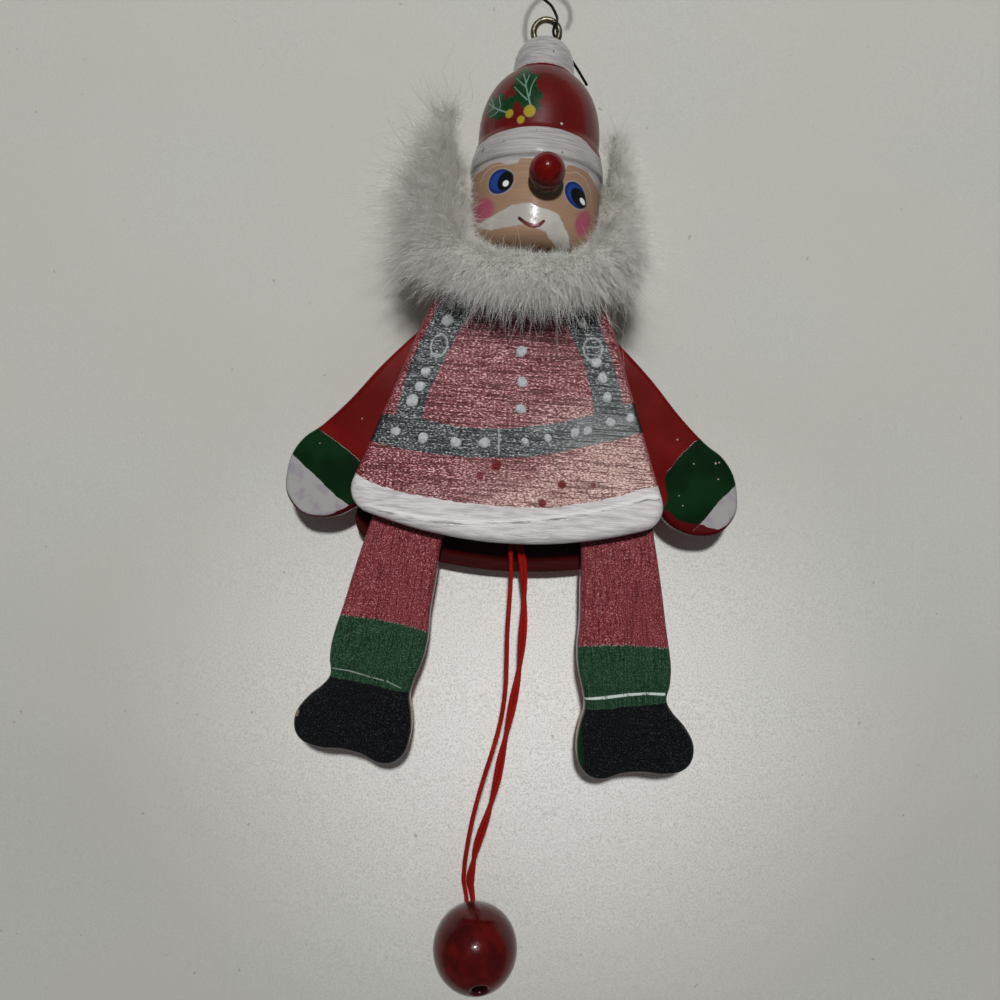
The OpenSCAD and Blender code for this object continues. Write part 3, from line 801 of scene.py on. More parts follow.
def coat_paint():
    coat = Finish("painted coat")
    spot = coat.place()
    x, y, z = coat.parts(spot)
    facing = abs(coat.facing()[1])
    pebbles = coat.noise(spot, 3.0, 2, 0.6, stretch=(0.5, 1.0, 1.1))
    grain = coat.noise(spot, 1.0, 2, 0.55, stretch=(0.13, 1.0, 2.3))
    patch = coat.noise(spot, 0.09, 2)
    wander = coat.wander(spot, 0.5, 2, 0.9)
    painted_sheen = coat.fade(patch + x * 0.02 - z * 0.025, 2.75, 3.8)
    raised = coat.fade(pebbles, 0.38, 0.62)
    deep = coat.fade(z + x * -0.35, -84, -112)
    crack = coat.fade(grain, 0.47, 0.38) * (0.85 - deep * 0.2)

    # Painted highlights: the red's highest pebbles take pale pink flecks for the lamp's glints.
    red = coat.mix(raised, ink(84, 14, 25), ink(158, 84, 92))
    red = coat.shade(pebbles, 0.54, 0.65, red, ink(236, 192, 194))
    # Painted sheen: the red turns paler towards the lower right, as the lamp's broad reflection.
    pale = coat.mix(raised, ink(150, 104, 98), ink(244, 216, 206))
    red = coat.mix(painted_sheen * 0.85, red, pale)
    # Painted shade: the coat's top, under the fur, is painted half over in a duller darker
    # mauve.
    red = coat.mix(coat.fade(z, -88, -66) * 0.5, red, ink(112, 56, 66))
    # The grey leather gets the same painted highlights on its pebbles and the same painted
    # sheen.
    grey = coat.mix(raised, ink(16, 22, 25), ink(90, 96, 98))
    grey = coat.shade(pebbles, 0.54, 0.66, grey, ink(186, 192, 192))
    grey = coat.mix(painted_sheen * 0.8, grey, ink(146, 150, 148))

    def between(value, low, high, soft=0.16):
        return coat.fade(value - low, -soft, soft) * coat.fade(high - value, -soft, soft)

    bent_x = x + wander * 0.5
    bent_z = z + wander
    straps = coat.most(*[between(bent_x, coat.along(z, low), coat.along(z, high))
                         * coat.fade(z, -100, -99) for low, high in (STRAP_LEFT, STRAP_RIGHT)])
    belt = between(bent_z, coat.along(x, BELT_FOOT), coat.along(x, BELT_TOP))
    leather = coat.most(straps, belt)
    coat.colour = coat.mix(leather, red, grey)
    coat.lay(crack, coat.mix(leather, ink(74, 10, 18), ink(14, 18, 20)))

    point = coat.joined(x, z)
    buckles = coat.most(*[coat.oval(x, z, *shape, 0.12) for shape in BUCKLES])
    holes = coat.most(*[coat.oval(x, z, *larger(shape, 0.84), 0.12) for shape in BUCKLES])
    bars = coat.most(*[coat.strokes(point, line, 0.12) for line in BUCKLE_BARS])
    tongue = coat.strokes(point, BELT_TONGUE, 0.15)
    frame_line = coat.strokes(point, BELT_FRAME, 0.15)
    keeper = coat.strokes(point, BELT_KEEPER, 0.12)
    drawn = coat.most(buckles * (1 - holes), bars, tongue * 0.9, keeper * 0.7,
                      frame_line * 0.6)
    coat.lay(drawn * (raised * 0.4 + 0.55), ink(184, 190, 188))

    for centre, r, strength in BLOTS:
        coat.lay(coat.disc(bent_x, bent_z, centre, r, 0.16) * strength, ink(104, 5, 11))

    brush = coat.noise(spot, 0.8, 3, 0.6, stretch=(0.2, 1.0, 1.3))
    silver = coat.shade(brush, 0.3, 0.62, ink(190, 185, 185), ink(222, 217, 217))
    over = z - coat.along(x, HEM_RIDGE) + wander * 0.3
    # Painted highlight: a pale band just above the hem's ridge line. Painted shade: a dark line
    # in the groove along it, which is also cut into the relief.
    silver = coat.mix(coat.fade(abs(over - 0.7), 0.7, 0.1) * 0.6, silver, ink(246, 244, 244))
    shaded_groove = coat.fade(abs(over), 0.45, 0.1) * coat.fade(brush, 0.6, 0.4)
    silver = coat.mix(shaded_groove * 0.6, silver, ink(96, 94, 98))
    hem = coat.fade(coat.along(x, HEM_TOP) - bent_z, -0.12, 0.14)
    coat.lay(hem, silver)

    rounding = coat.fade(facing, 0.93, 0.7)
    coat.lay(rounding * leather, ink(16, 21, 23))
    coat.lay(rounding * (1 - leather) * (1 - hem) * 0.7, ink(124, 20, 32))
    rim = coat.fade(facing, 0.5, 0.2)
    coat_side = coat.mix(leather, ink(98, 8, 14), ink(18, 23, 25))
    coat_side = coat.mix(hem * coat.fade(y, -3.6, -4.6), coat_side, ink(128, 126, 132))
    coat.lay(rim, coat_side)
    bare = coat.fade(y, -3.9, -3.6) * coat.fade(pebbles, 0.35, 0.6)
    coat.lay(bare * 0.7, ink(128, 78, 68))

    relief = (pebbles * (0.75 - hem * 0.5) + brush * hem * 0.7 - shaded_groove * hem * 0.5
              - crack * 0.6 + leather * 0.12 + hem * 0.15)
    return coat.shader(Roughness=0.36 - hem * 0.12, Specular_IOR_Level=0.4,
                       Normal=coat.bump(relief, 0.13))


print("the coat's paint is ready")

# %% [markdown]
# The front board is the coat. It has more rings than the other plates, so that the light
# plays over its sanded front.

# %% Front board
FRONT = -HALF_GAP - BOARD_T
BOARD_ROUND = 2.4
BOARD_SAWN = 0.3
BOARD_SPACING = 0.8
front_outline = even_loop(board_outline(CHIN - BOARD_H), BOARD_SPACING)
front_spine = ((BOARD_SHIFT, -74), (BOARD_SHIFT, -98))
corners, faces = plate(front_outline, front_spine, FRONT, -HALF_GAP, BOARD_ROUND, BOARD_SAWN,
                       relief=0.07, inner=44)
piece("front_board_wood", corners, faces, "figure", "front_board", coat_paint(),
      ["front_board"])
print("front board", len(faces), "faces")

# %% [markdown]
# The back board hangs lower, so its red lower edge shows under the hem, with a thin line of
# bare wood along the saw cut. Its paint is a dark red, painted much darker than the arms'
# red as painted shade for the shade under the hem, and brushed on thinly behind, where
# nobody looks.

# %% Dark red paint with painted shade, and the back board
def shaded_red_paint(name):
    paint = Finish(name)
    spot = paint.place()
    y = paint.parts(spot)[1]
    facing = paint.facing()[1]
    grain = paint.noise(spot, 0.9, 4, 0.6, stretch=(0.2, 1.0, 1.2))
    cloud = paint.noise(spot, 0.12, 2)
    # Painted shade: the face is painted a near-black red for the shade under the hem.
    paint.colour = paint.shade(grain, 0.35, 0.7, ink(48, 3, 4), ink(60, 5, 6))
    paint.lay(paint.fade(cloud, 0.4, 0.7) * 0.4, ink(40, 3, 4))
    behind = paint.fade(facing, 0.3, 0.9)
    thin = behind * paint.fade(grain + cloud, 1.0, 1.3)
    paint.lay(thin * 0.6, ink(112, 34, 28))
    rim = paint.fade(abs(facing), 0.7, 0.3)
    bare = rim * paint.fade(y, 6.5, 7.2) * paint.fade(grain, 0.25, 0.5)
    paint.lay(bare, ink(176, 128, 112))
    return paint.shader(Roughness=grain * 0.25 + 0.35, Normal=paint.bump(grain, 0.05),
                        Specular_IOR_Level=0.2)


BACK = HALF_GAP + BOARD_T
back_outline = even_loop(board_outline(CHIN - BOARD_H - BACK_EXTRA), BOARD_SPACING)
mirror = np.array([1, -1, 1])
corners, faces = plate(back_outline, front_spine, -BACK, -HALF_GAP, BOARD_ROUND, BOARD_SAWN,
                       relief=0.05)
piece("back_board_wood", corners * mirror, faces, "figure", "back_board",
      shaded_red_paint("back red"), ["back_board"])
print("back board", len(faces), "faces")

# %% [markdown]
# ## Arms and legs
#
# Each limb is sawn to a half-drawn outline that is given from its pivot: how far down the
# limb, and how far outwards. Left and right share the drawing. The plate is turned to its
# rest angle about its pin and then drilled for the pin and for the string.

# %% Limbs
ARM_SHAPE = [
    (-10.9, -2.4), (-8.8, 3.6), (-2.5, 7.4), (7, 8.6), (18, 9.1), (29, 8.8), (38, 9.3),
    (43.5, 10.4), (48.5, 9.8), (52.8, 7.5), (56.2, 4.4), (57.6, 0), (56.8, -4),
    (52.6, -8.4), (46.5, -10.3), (38, -8.9), (28, -7.1), (15, -6.8), (4, -7.2),
    (-4, -7.8), (-9.3, -7)]
LEG_SHAPE = [
    (-8.6, -3.2), (-6.8, 2.6), (-3, 6.5), (4, 8.2), (12, 9.2), (21, 10), (30, 10.6),
    (38.5, 11.3), (43.6, 10.9), (47.6, 9.8), (50.8, 11.2), (54.4, 14), (58.6, 15.8),
    (62.6, 15.2), (65, 12.6), (65.6, 8), (64.8, 3), (64.9, -2), (66, -6.4), (65.2, -10),
    (62, -12.4), (57, -12.7), (52.4, -11.7), (48.4, -10.3), (44.4, -10.5), (38.5, -11.4),
    (33, -11.3), (27, -10.4), (19, -9.9), (11, -9.3), (4, -10), (-1.5, -11.4),
    (-6.6, -11), (-9, -7.6)]
LIMB_ROUND = 1.2
LIMB_SAWN = 0.35
LIMB_SPACING = 0.7
PIN_HOLE_R = 1.56
STRING_HOLE_R = 1.4
ARM_PIVOTS = ((-16.4, -78.3), (12.8, -78.3))
LEG_PIVOTS = ((-24.5, -117.0), (25.3, -117.0))
ARM_ANGLES = (40.0, 43.3)
LEG_ANGLES = (9.3, 6.7)
ARM_LEVER = (7.2, 72.65)
LEG_LEVER = (8.5, 33.87)


def limb(name, shape, side, pivot, angle, lever, lever_angle, spine, body, node, material):
    loop = smooth_loop([(side * out, -down) for down, out in shape])
    outline = even_loop(loop, LIMB_SPACING)
    corners, faces = plate(outline, spine, -LIMB_T / 2, LIMB_T / 2, LIMB_ROUND, LIMB_SAWN,
                           relief=0.06)
    turn = math.radians(-side * angle)
    x, z = corners[:, 0].copy(), corners[:, 2].copy()
    corners[:, 0] = pivot[0] + x * math.cos(turn) + z * math.sin(turn)
    corners[:, 2] = pivot[1] - x * math.sin(turn) + z * math.cos(turn)
    made = piece(name, corners, faces, body, node, material, [node])
    hole = math.radians(lever_angle - angle)
    bore(made, [(pivot[0], pivot[1], PIN_HOLE_R),
                (pivot[0] - side * lever * math.cos(hole), pivot[1] + lever * math.sin(hole),
                 STRING_HOLE_R)])
    return made


def limb_place(finish, side, pivot, angle):
    """How far outwards and how far down its own limb a point lies, in millimetres."""
    x, y, z = finish.parts(finish.place())
    turn = math.radians(-side * angle)
    across = x - pivot[0]
    upward = z - pivot[1]
    out = (across * math.cos(turn) - upward * math.sin(turn)) * side
    down_limb = -(across * math.sin(turn) + upward * math.cos(turn))
    return out, y, down_limb


print("limbs can be sawn")

# %% [markdown]
# The arms are glossy red with a green cuff and a white mitten whose tip is red. They were
# painted by hand, so each has its own lines, measured across and down the arm. The paint
# is tied to the arm's own shape, so it stays in place when the arm swings.

# %% Arms
ARM_CUFF = ([(-11, 39.0), (-3, 38.4), (1.7, 38.6), (5.7, 39.2), (11, 39.9)],
            [(-11, 44.5), (-7.6, 43.5), (-5.1, 40.5), (-3.3, 38.1), (1, 37), (5, 36.4),
             (11, 36.6)])
ARM_HAND = ([(-11, 47.5), (-7.7, 48.2), (-3.4, 48.6), (0.4, 48.5), (4.9, 48.7), (11, 48.2)],
            [(-11, 53), (-6, 52.8), (-2.4, 52.4), (0.6, 51.8), (4.5, 51.2), (8, 51.0),
             (11, 51.3)])
ARM_TIP = ([(-11, 46.0), (-9.7, 46.9), (-8.8, 49.4), (-7.1, 53.4), (-5.5, 55.4),
            (-3.3, 57.6), (0, 60), (11, 62)],
           [(-11, 44), (-8.2, 45.5), (-8, 47.8), (-6.8, 50.5), (-4.5, 52.5), (-2.6, 55.6),
            (0.4, 57.1), (3.6, 57.4), (11, 60)])
ARM_SPECKS = ([(3.2, 30.5, 0.16), (6.4, 42.0, 0.14)],
              [(4.5, 33.2, 0.2), (8.9, 29.7, 0.16), (3.8, 40.3, 0.17), (8.0, 43.6, 0.24),
               (8.8, 44.0, 0.17), (6.0, 47.0, 0.18), (-4.0, 44.0, 0.15), (-4.8, 46.5, 0.16)])


def arm_paint(name, i, side):
    paint = Finish(name)
    out, y, down_arm = limb_place(paint, side, ARM_PIVOTS[i], ARM_ANGLES[i])
    spot = paint.place()
    ny, nz = paint.facing()[1:]
    wander = paint.wander(spot, 0.4, 3, 0.7)
    fine = paint.noise(spot, 2.2, 3, 0.6)
    cloud = paint.noise(spot, 0.1, 2)
    front = paint.fade(ny, 0.2, -0.5)

    red = paint.shade(cloud, 0.35, 0.7, ink(94, 7, 6), ink(108, 12, 9))
    green = paint.shade(cloud, 0.4, 0.65, ink(3, 30, 9), ink(6, 42, 14))
    smear = paint.fade(paint.noise(spot, 0.32, 2, 0.5), 0.45, 0.62)
    white = paint.mix(smear, ink(160, 158, 156), ink(150, 140, 150))
    tip_wander = paint.wander(spot, 0.8, 3, 1.6)

    past_cuff, past_hand = [down_arm - paint.along(out, line[i]) + wander
                            for line in (ARM_CUFF, ARM_HAND)]
    past_tip = down_arm - paint.along(out, ARM_TIP[i]) + tip_wander
    cuff = paint.fade(past_cuff, -0.12, 0.12)
    hand = paint.fade(past_hand, -0.12, 0.12)
    tip = paint.fade(past_tip, -0.15, 0.15)
    seam = paint.fade(abs(past_cuff), 0.4, 0.1)
    paint.colour = paint.mix(cuff, red, green)
    paint.lay(seam * 0.5, ink(66, 18, 8))
    paint.lay(hand, white)
    paint.lay(tip, ink(78, 6, 10))
    # Painted shade: the rounded edge that faces down takes the side's red, painted darker still.
    under = paint.fade(nz, -0.12, -0.45) * paint.fade(abs(ny), 0.93, 0.8)
    paint.lay(under, ink(72, 8, 11))
    side_face = paint.fade(ny, -0.5, -0.2) * (1 - hand * paint.fade(y, -0.2, -1.2))
    paint.lay(side_face, ink(82, 8, 12))
    bare = paint.fade(y, 1.2, 1.7) * paint.fade(ny, 0.95, 0.6) * paint.fade(fine, 0.3, 0.5)
    paint.lay(bare, ink(150, 104, 100))
    for u, v, r in ARM_SPECKS[i]:
        paint.lay(paint.disc(out, down_arm, (u, v), r, 0.6) * front, ink(176, 160, 152))
    return paint.shader(Roughness=0.22 + cloud * 0.1 + hand * 0.15,
                        Normal=paint.bump(fine * 0.4 + cuff * 0.8 + hand * 0.8, 0.05),
                        Specular_IOR_Level=0.2)


ARM_SPINE = ((0, -2), (0, -47))


def limbs(kind, shape, spine, pivots, angles, lever, paint):
    """The left and the right limb of one kind, sawn, painted and drilled."""
    for i, (word, side) in enumerate((("left", -1), ("right", 1))):
        own = word + "_" + kind
        limb(own + "_wood", shape, side, pivots[i], angles[i], *lever,
             [(side * x, z) for x, z in spine], own, kind + "_" + word,
             paint(word + " " + kind + " paint", i, side))


limbs("arm", ARM_SHAPE, ARM_SPINE, ARM_PIVOTS, ARM_ANGLES, ARM_LEVER, arm_paint)
print("two arms are sawn, painted and drilled")

# %% [markdown]
# The legs have the coat's red with painted glints, a green cuff and black boots. A low ridge
# of paint runs above each boot, and its glint is painted as a pale broken line, faint on the
# left and clear on the right.

# %% Legs
LEG_CUFF = ([(-12, 32.2), (-6.2, 31.8), (-0.8, 31.8), (5.7, 32.3), (12, 33.3)],
            [(-12, 33.4), (-5.6, 33.3), (0.9, 33.6), (6.1, 34.2), (12, 34.9)])
LEG_BOOT = ([(-12, 47.1), (-4.7, 47.7), (0.1, 47.7), (5.3, 47.9), (12, 48.2)],
            [(-12, 48.3), (-6.3, 48.8), (0.2, 48.5), (6.7, 48.2), (12, 47.8)])
# Where the glint is painted along the ridge above each boot: [across, down, half width].
LEG_RIDGE_GLINTS = ([(-7.8, 46.8, 0.1), (-4.2, 46.0, 0.14), (-0.2, 45.9, 0.12), (5.2, 45.6, 0.14),
             (9.5, 45.9, 0.08)],
            [(-10.1, 46.1, 0.24), (-6.2, 46.1, 0.38), (0.3, 45.6, 0.34), (4.9, 45.5, 0.28),
             (9.1, 45.9, 0.34)])


def leg_paint(name, i, side):
    paint = Finish(name)
    out, y, down_leg = limb_place(paint, side, LEG_PIVOTS[i], LEG_ANGLES[i])
    spot = paint.place()
    nx, ny, nz = paint.facing()
    own = paint.joined(out, down_leg)
    streak = paint.noise(own, 1.0, 2, 0.55, stretch=(3.0, 0.12, 1.0))
    pebbles = paint.noise(spot, 3.3, 2, 0.6)
    raised = paint.fade(pebbles, 0.36, 0.64)
    glint = paint.fade(pebbles, 0.60, 0.72)
    furrow = paint.fade(streak, 0.48 if i else 0.45, 0.38)
    wander = paint.wander(spot, 0.5, 3, 0.8)
    front = paint.fade(ny, 0.2, -0.5)

    red = paint.mix(raised, ink(98, 22, 30), ink(152, 76, 82))
    # Painted highlights: the highest pebbles of the red, the green and the boots take pale
    # flecks for glints.
    red = paint.mix(glint, red, ink(222, 166, 170))
    green = paint.mix(raised, ink(14, 46, 27), ink(52, 82, 60))
    boot = paint.mix(raised, ink(9, 10, 12), ink(25, 26, 28))
    green_with_glints = paint.mix(glint * 0.5, green, ink(112, 136, 118))
    boot = paint.mix(glint * 0.35, boot, ink(106, 106, 108))
    past_cuff, past_boot = [down_leg - paint.along(out, line[i]) + wander
                            for line in (LEG_CUFF, LEG_BOOT)]
    cuff = paint.fade(past_cuff, -0.15, 0.15)
    shoe = paint.fade(past_boot, -0.15, 0.15)
    seam_glints = paint.fade(abs(past_cuff), 0.4, 0.12)
    broken = paint.fade(paint.noise(spot, 0.7, 3, 0.7), 0.36 - i * 0.04, 0.5 - i * 0.06)
    line = paint.strokes(own, LEG_RIDGE_GLINTS[i], 0.1) * broken
    paint.colour = paint.mix(cuff, red, green_with_glints)
    # Painted highlights: pale dots along the cuff's border, for glints on its edge.
    paint.lay(seam_glints * paint.fade(pebbles, 0.5, 0.62) * 0.8, ink(168, 160, 152))
    paint.lay(shoe, boot)
    dark = paint.mix(cuff, ink(70, 8, 14), ink(8, 22, 14))
    paint.lay(furrow * (1 - shoe * 0.6) * 0.5, dark)
    # Painted highlight: a pale broken line for the glint along the ridge of paint above the
    # boot; the ridge itself is in the relief.
    paint.lay(line * (1 if i else 0.45), ink(206, 216, 208))
    if i:
        smear = paint.strokes(own, [(-11.6, 52, 0.3), (-12.4, 57, 0.8), (-11.7, 62, 0.6)], 0.4)
        paint.lay(smear, ink(8, 46, 24))
    else:
        chip = paint.oval(out, down_leg, (15.7, 58.4), (0.8, 0), (0, 1.0), 0.4)
        paint.lay(chip * paint.fade(pebbles, 0.4, 0.5), ink(150, 132, 104))

    # The boots' rims that face down and inwards are painted grey.
    inner = paint.most(paint.fade(nz, -0.2, -0.5), paint.fade(nx * side, -0.2, -0.6))
    down_and_in_rims = inner * paint.fade(abs(ny), 0.72, 0.5)
    paint.lay(down_and_in_rims * shoe * 0.9, ink(74, 62, 56))
    side_face = paint.fade(ny, -0.45, -0.15)
    pale = paint.fade(y, -0.9, 0.9) * paint.fade(pebbles + streak, 0.7, 1.0)
    rough_side = paint.mix(pale * 0.8, paint.colour, ink(136, 104, 98))
    paint.lay(side_face, rough_side)
    paint.lay(paint.fade(ny, 0.5, 0.9) * 0.6, ink(104, 48, 42))
    relief = pebbles * (1 - shoe * 0.4) - furrow * 0.5 + line * 0.7 * front
    return paint.shader(Roughness=0.3 - shoe * 0.05, Specular_IOR_Level=0.25,
                        Normal=paint.bump(relief, 0.1))


LEG_SPINE = ((-1, -2), (1, -54))
limbs("leg", LEG_SHAPE, LEG_SPINE, LEG_PIVOTS, LEG_ANGLES, LEG_LEVER, leg_paint)
print("two legs are sawn, painted and drilled")

# %% [markdown]
# ## Turned head
#
# The head is one lathe turning: pompom, hat, brim and face. Its rings follow the turned
# profile, and a fine wobble along the height stands for the marks of the tool. The bottom
# is rounded where the face turns under to the chin.

# %% Head shape
HAT_R, HAT_H, HAT_BAND, HAT_POWER = 15.0, 18.0, 2.3, 2.2
POMPOM_R, POMPOM_H, POMPOM_POWER = 7.6, 9.7, 2.8
BRIM_R, BRIM_H, BRIM_LIP = 16.5, 7.8, 0.6
FACE_R, FACE_H, CHIN_ROUND = 16.0, 20.7, 4.5
FACE_TOP = CHIN + FACE_H
BRIM_TOP = FACE_TOP + BRIM_H
HAT_TOP = BRIM_TOP + HAT_H


def head_profile():
    """Radius and height up the turned head, in millimetres, from the chin to the top."""
    points = [(0.3, CHIN), (4.0, CHIN), (8.0, CHIN)]
    for a in np.linspace(-math.pi / 2, 0, 12):
        points.append((FACE_R - CHIN_ROUND + CHIN_ROUND * math.cos(a),
                       CHIN + CHIN_ROUND * (1 + math.sin(a))))
    for z in np.linspace(CHIN + CHIN_ROUND, FACE_TOP, 26)[1:-1]:
        points.append((FACE_R, z))
    points += [(FACE_R, FACE_TOP), (FACE_R + 0.12, FACE_TOP + 0.08),
               (BRIM_R - 0.12, FACE_TOP + BRIM_LIP - 0.15)]
    for t in np.linspace(0, 1, 16):
        points.append((BRIM_R - (BRIM_R - HAT_R) * t * t, FACE_TOP + BRIM_LIP
                       + (BRIM_H - BRIM_LIP) * t))
    dome_h = (HAT_H - HAT_BAND) / (1 - (POMPOM_R / HAT_R) ** HAT_POWER) ** (1 / HAT_POWER)
    meet = math.acos((POMPOM_R / HAT_R) ** (HAT_POWER / 2))
    for z in np.linspace(BRIM_TOP, BRIM_TOP + HAT_BAND, 5)[1:-1]:
        points.append((HAT_R, z))
    for a in np.linspace(0, meet, 40):
        points.append((HAT_R * math.cos(a) ** (2 / HAT_POWER), BRIM_TOP + HAT_BAND
                       + dome_h * math.sin(a) ** (2 / HAT_POWER)))
    for a in np.linspace(0, math.pi / 2, 34)[:-1]:
        points.append((POMPOM_R * math.cos(a) ** (2 / POMPOM_POWER),
                       HAT_TOP + POMPOM_H * math.sin(a) ** (2 / POMPOM_POWER)))
    return np.array(points)


def turned(profile, turns):
    """Rings of corners from [radius, height] points turned about Z."""
    angle = np.arange(turns) / turns * 2 * math.pi
    return np.vstack([np.stack([r * np.sin(angle), -r * np.cos(angle), np.full(turns, z)],
                               axis=1) for r, z in profile])


def lathe(profile, turns):
    """Corners and faces of a solid turned about Z, closed by a fan at each end."""
    return turned(profile, turns), capped(len(profile), turns)


profile = head_profile()
tool_marks = 0.012 * np.sin(profile[:, 1] * 5.1) * np.sin(profile[:, 1] * 1.3)
profile[:, 0] += tool_marks * (profile[:, 0] > 6)
head_corners, head_faces = lathe(profile, 168)
print("head rings", len(profile))

# %% [markdown]
# ## Face and hat paint
#
# The features were measured round the turned surface, so they are drawn in unrolled
# coordinates: arc length round the face and height, in millimetres. Each one is an oval or
# a brush stroke with soft borders, laid over the skin in the order a painter would. The
# skin is thin paint over wood; the brim and pompom are thicker white with brush lines.

# %% Lines and leaves measured on the hat
BRIM_FOOT = [(-40, -39.2), (-23.7, -38.6), (-16.7, -39.7), (-13.5, -39.3), (-10.7, -39.1),
             (-6.8, -40.1), (-4.9, -40.1), (-4.4, -38.9), (-1.8, -38.9), (2.5, -39.8),
             (6.0, -40.5), (6.8, -39.5), (9.5, -39.0), (12.7, -39.1), (20.3, -40.9),
             (40, -39.5)]
BRIM_EDGE = [(-40, -33.0), (-19.6, -32.5), (-13.4, -31.9), (-7.7, -31.5), (0.5, -31.1),
             (7.9, -31.4), (12.4, -32.1), (17.4, -33.4), (40, -33.0)]
MUSTACHE = (
    [(-16.7, -52.4, 0.15), (-14, -53.1, 0.8), (-10.2, -53.2, 1.65), (-7.2, -52.6, 2.1),
     (-4.8, -52.0, 2.45), (-1.6, -51.6, 2.35)],
    [(0, -52.3, 2.4), (3.9, -53.1, 2.5), (5.35, -54.9, 2.3), (6.9, -56.3, 1.95),
     (8.5, -57.8, 1.5)])
LEAVES = (
    dict(place=(-3.813, -13.761, -21.782), across=(0.9637, -0.267, 0),
         upward=(0.071, 0.2564, 0.9639),
         blade=[(1.3, -4.0, 2.1), (0.5, -1.6, 2.6), (-0.9, 2.0, 2.7), (-1.1, 4.2, 1.9)],
         lobes=[(2.7, -1.9, 1.3), (0.9, 3.4, 1.5), (-1.9, -2.0, 1.3), (-2.4, 1.3, 1.2),
                (-2.7, 4.6, 1.35), (-1.9, 6.3, 1.4), (2.6, -4.5, 1.1)],
         tips=[[(-2.0, 6.5, 1.2), (-2.6, 8.8, 0.3)]],
         veins=[[(1.27, -4.31), (0.40, -1.59), (-0.37, 0.70), (-0.57, 2.12), (-1.69, 5.23)],
                [(0.60, -2.1), (0.82, -1.76), (0.92, 0.27), (1.25, 1.80), (1.73, 3.49)],
                [(-0.41, 1.92), (-0.20, 3.20), (-0.08, 4.53)],
                [(-0.4, 0.75), (-1.15, 1.32), (-2.21, 2.65), (-3.26, 4.01)],
                [(0.3, -2.9), (-0.13, -2.43), (-1.21, -1.42), (-2.12, -0.31), (-3.27, 1.16)]],
         berries=[(1.13, -5.57, 1.31), (-0.80, -7.47, 0.86)]),
    dict(place=(-9.831, -11.169, -25.314), across=(0.7506, -0.6607, 0),
         upward=(0.0534, 0.0606, 0.9967),
         blade=[(2.5, -1.3, 1.4), (0.4, -0.5, 2.2), (-2.2, 0.7, 2.5), (-4.4, 2.3, 2.0)],
         lobes=[(-0.5, 2.3, 1.5), (2.5, 0.6, 1.5), (-4.6, 3.6, 1.6), (-3.9, 0.2, 1.0),
                (-0.1, -1.8, 1.2)],
         tips=[[(-0.8, 2.8, 1.1), (-1.5, 4.3, 0.3)], [(-4.9, 4.0, 1.3), (-5.9, 4.7, 0.5)]],
         veins=[[(1.91, -1.61), (-0.28, -0.48), (-2.29, 0.79), (-4.94, 3.07)],
                [(-0.1, -0.4), (0.06, 0.70), (-0.68, 2.27), (-1.26, 3.57)],
                [(-2.1, 0.7), (-2.42, 1.28), (-3.37, 2.91), (-4.56, 4.48)],
                [(-2.29, 0.79), (-3.36, 0.63), (-5.10, 0.55)],
                [(-0.28, -0.48), (-0.77, -0.90), (-1.91, -1.21), (-3.70, -1.09)]],
         berries=[(2.90, -2.15, 0.98)]))
print(len(LEAVES), "leaves on the hat")

# %% [markdown]
# The face and the hat are parts of one turning, so their finishes start alike. Each has the
# unrolled place of a point and the white paint of the brim, with brush lines that run round
# the turning.

# %% White paint and what the face and the hat share
def brushed_white(finish, spot, s, z):
    """Thick white paint with fine brush lines round the turning, and its relief."""
    lines = finish.noise(finish.joined(s * 0.12, z * 2.2, 1.0), 1.0, 4, 0.62)
    brush = finish.fade(finish.noise(finish.joined(s * 0.07, z * 1.7, 5.0), 1.0, 3), 0.58, 0.7)
    speck = finish.fade(finish.noise(spot, 0.8, 0), 0.80, 0.84)
    white = finish.shade(lines, 0.36, 0.64, ink(150, 146, 146), ink(180, 176, 172))
    white = finish.mix(brush * 0.45, white, ink(132, 128, 130))
    return finish.mix(speck, white, ink(92, 80, 84)), lines


def turned_paint(name):
    """A finish for the head, its unrolled coordinates, its noises and its white paint."""
    paint = Finish(name)
    spot = paint.place()
    x, y, z = paint.parts(spot)
    s = paint.maths("ARCTAN2", x, -y) * FACE_R
    flat = paint.joined(s, z)
    return (paint, spot, s, y, z, flat, paint.noise(spot, 1.6, 3, 0.65),
            paint.noise(spot, 0.14, 2), paint.wander(flat, 0.6, 3, 0.5),
            *brushed_white(paint, spot, s, z))


print("white paint is ready")

# %% [markdown]
# The face goes from skin to cheeks, eyes, lashes, mustache, mouth and brim. An eye is a
# stack of leaning ovals: a pale rim, the blue, the black and a white glint. The mustache is
# two runs of overlapping brush strokes, which give it an uneven border.

# %% Face
EYES = (
    dict(blue=((-9.05, -43.72), (2.53, 1.87), (2.32, -2.19)),
         black=((-7.65, -43.81), (1.215, 1.96), (1.705, -1.05)),
         glint=((-7.48, -44.41), (0.78, 0), (0, 0.72))),
    dict(blue=((9.96, -45.5), (2.375, -2.385), (2.33, 1.685)),
         black=((10.93, -45.86), (2.05, -1.715), (1.635, 1.24)),
         glint=((12.07, -46.31), (0.585, -0.675), (0.75, 0.25))))
CHEEKS = (((-14.28, -49.34), (2.3, 2.1), (3.3, -1.9)),
          ((12.98, -51.21), (0.5, 3.25), (2.85, 0.55)))
LASHES = (
    [(-15.7, -43.2, 0.08), (-15.4, -41.9, 0.14), (-14.1, -40.6, 0.17), (-11.3, -39.7, 0.17),
     (-7.3, -40.0, 0.1)],
    [(6.5, -41.2, 0.1), (9.6, -40.2, 0.16), (12.5, -40.8, 0.16), (14.8, -43.1, 0.16),
     (15.6, -45.8, 0.12)])
MOUTH = [(-3.53, -52.75, 0.38), (-2.35, -53.64, 0.42), (-1.2, -54.2, 0.48),
         (0.0, -54.4, 0.5), (1.1, -54.1, 0.46), (2.11, -53.11, 0.34)]


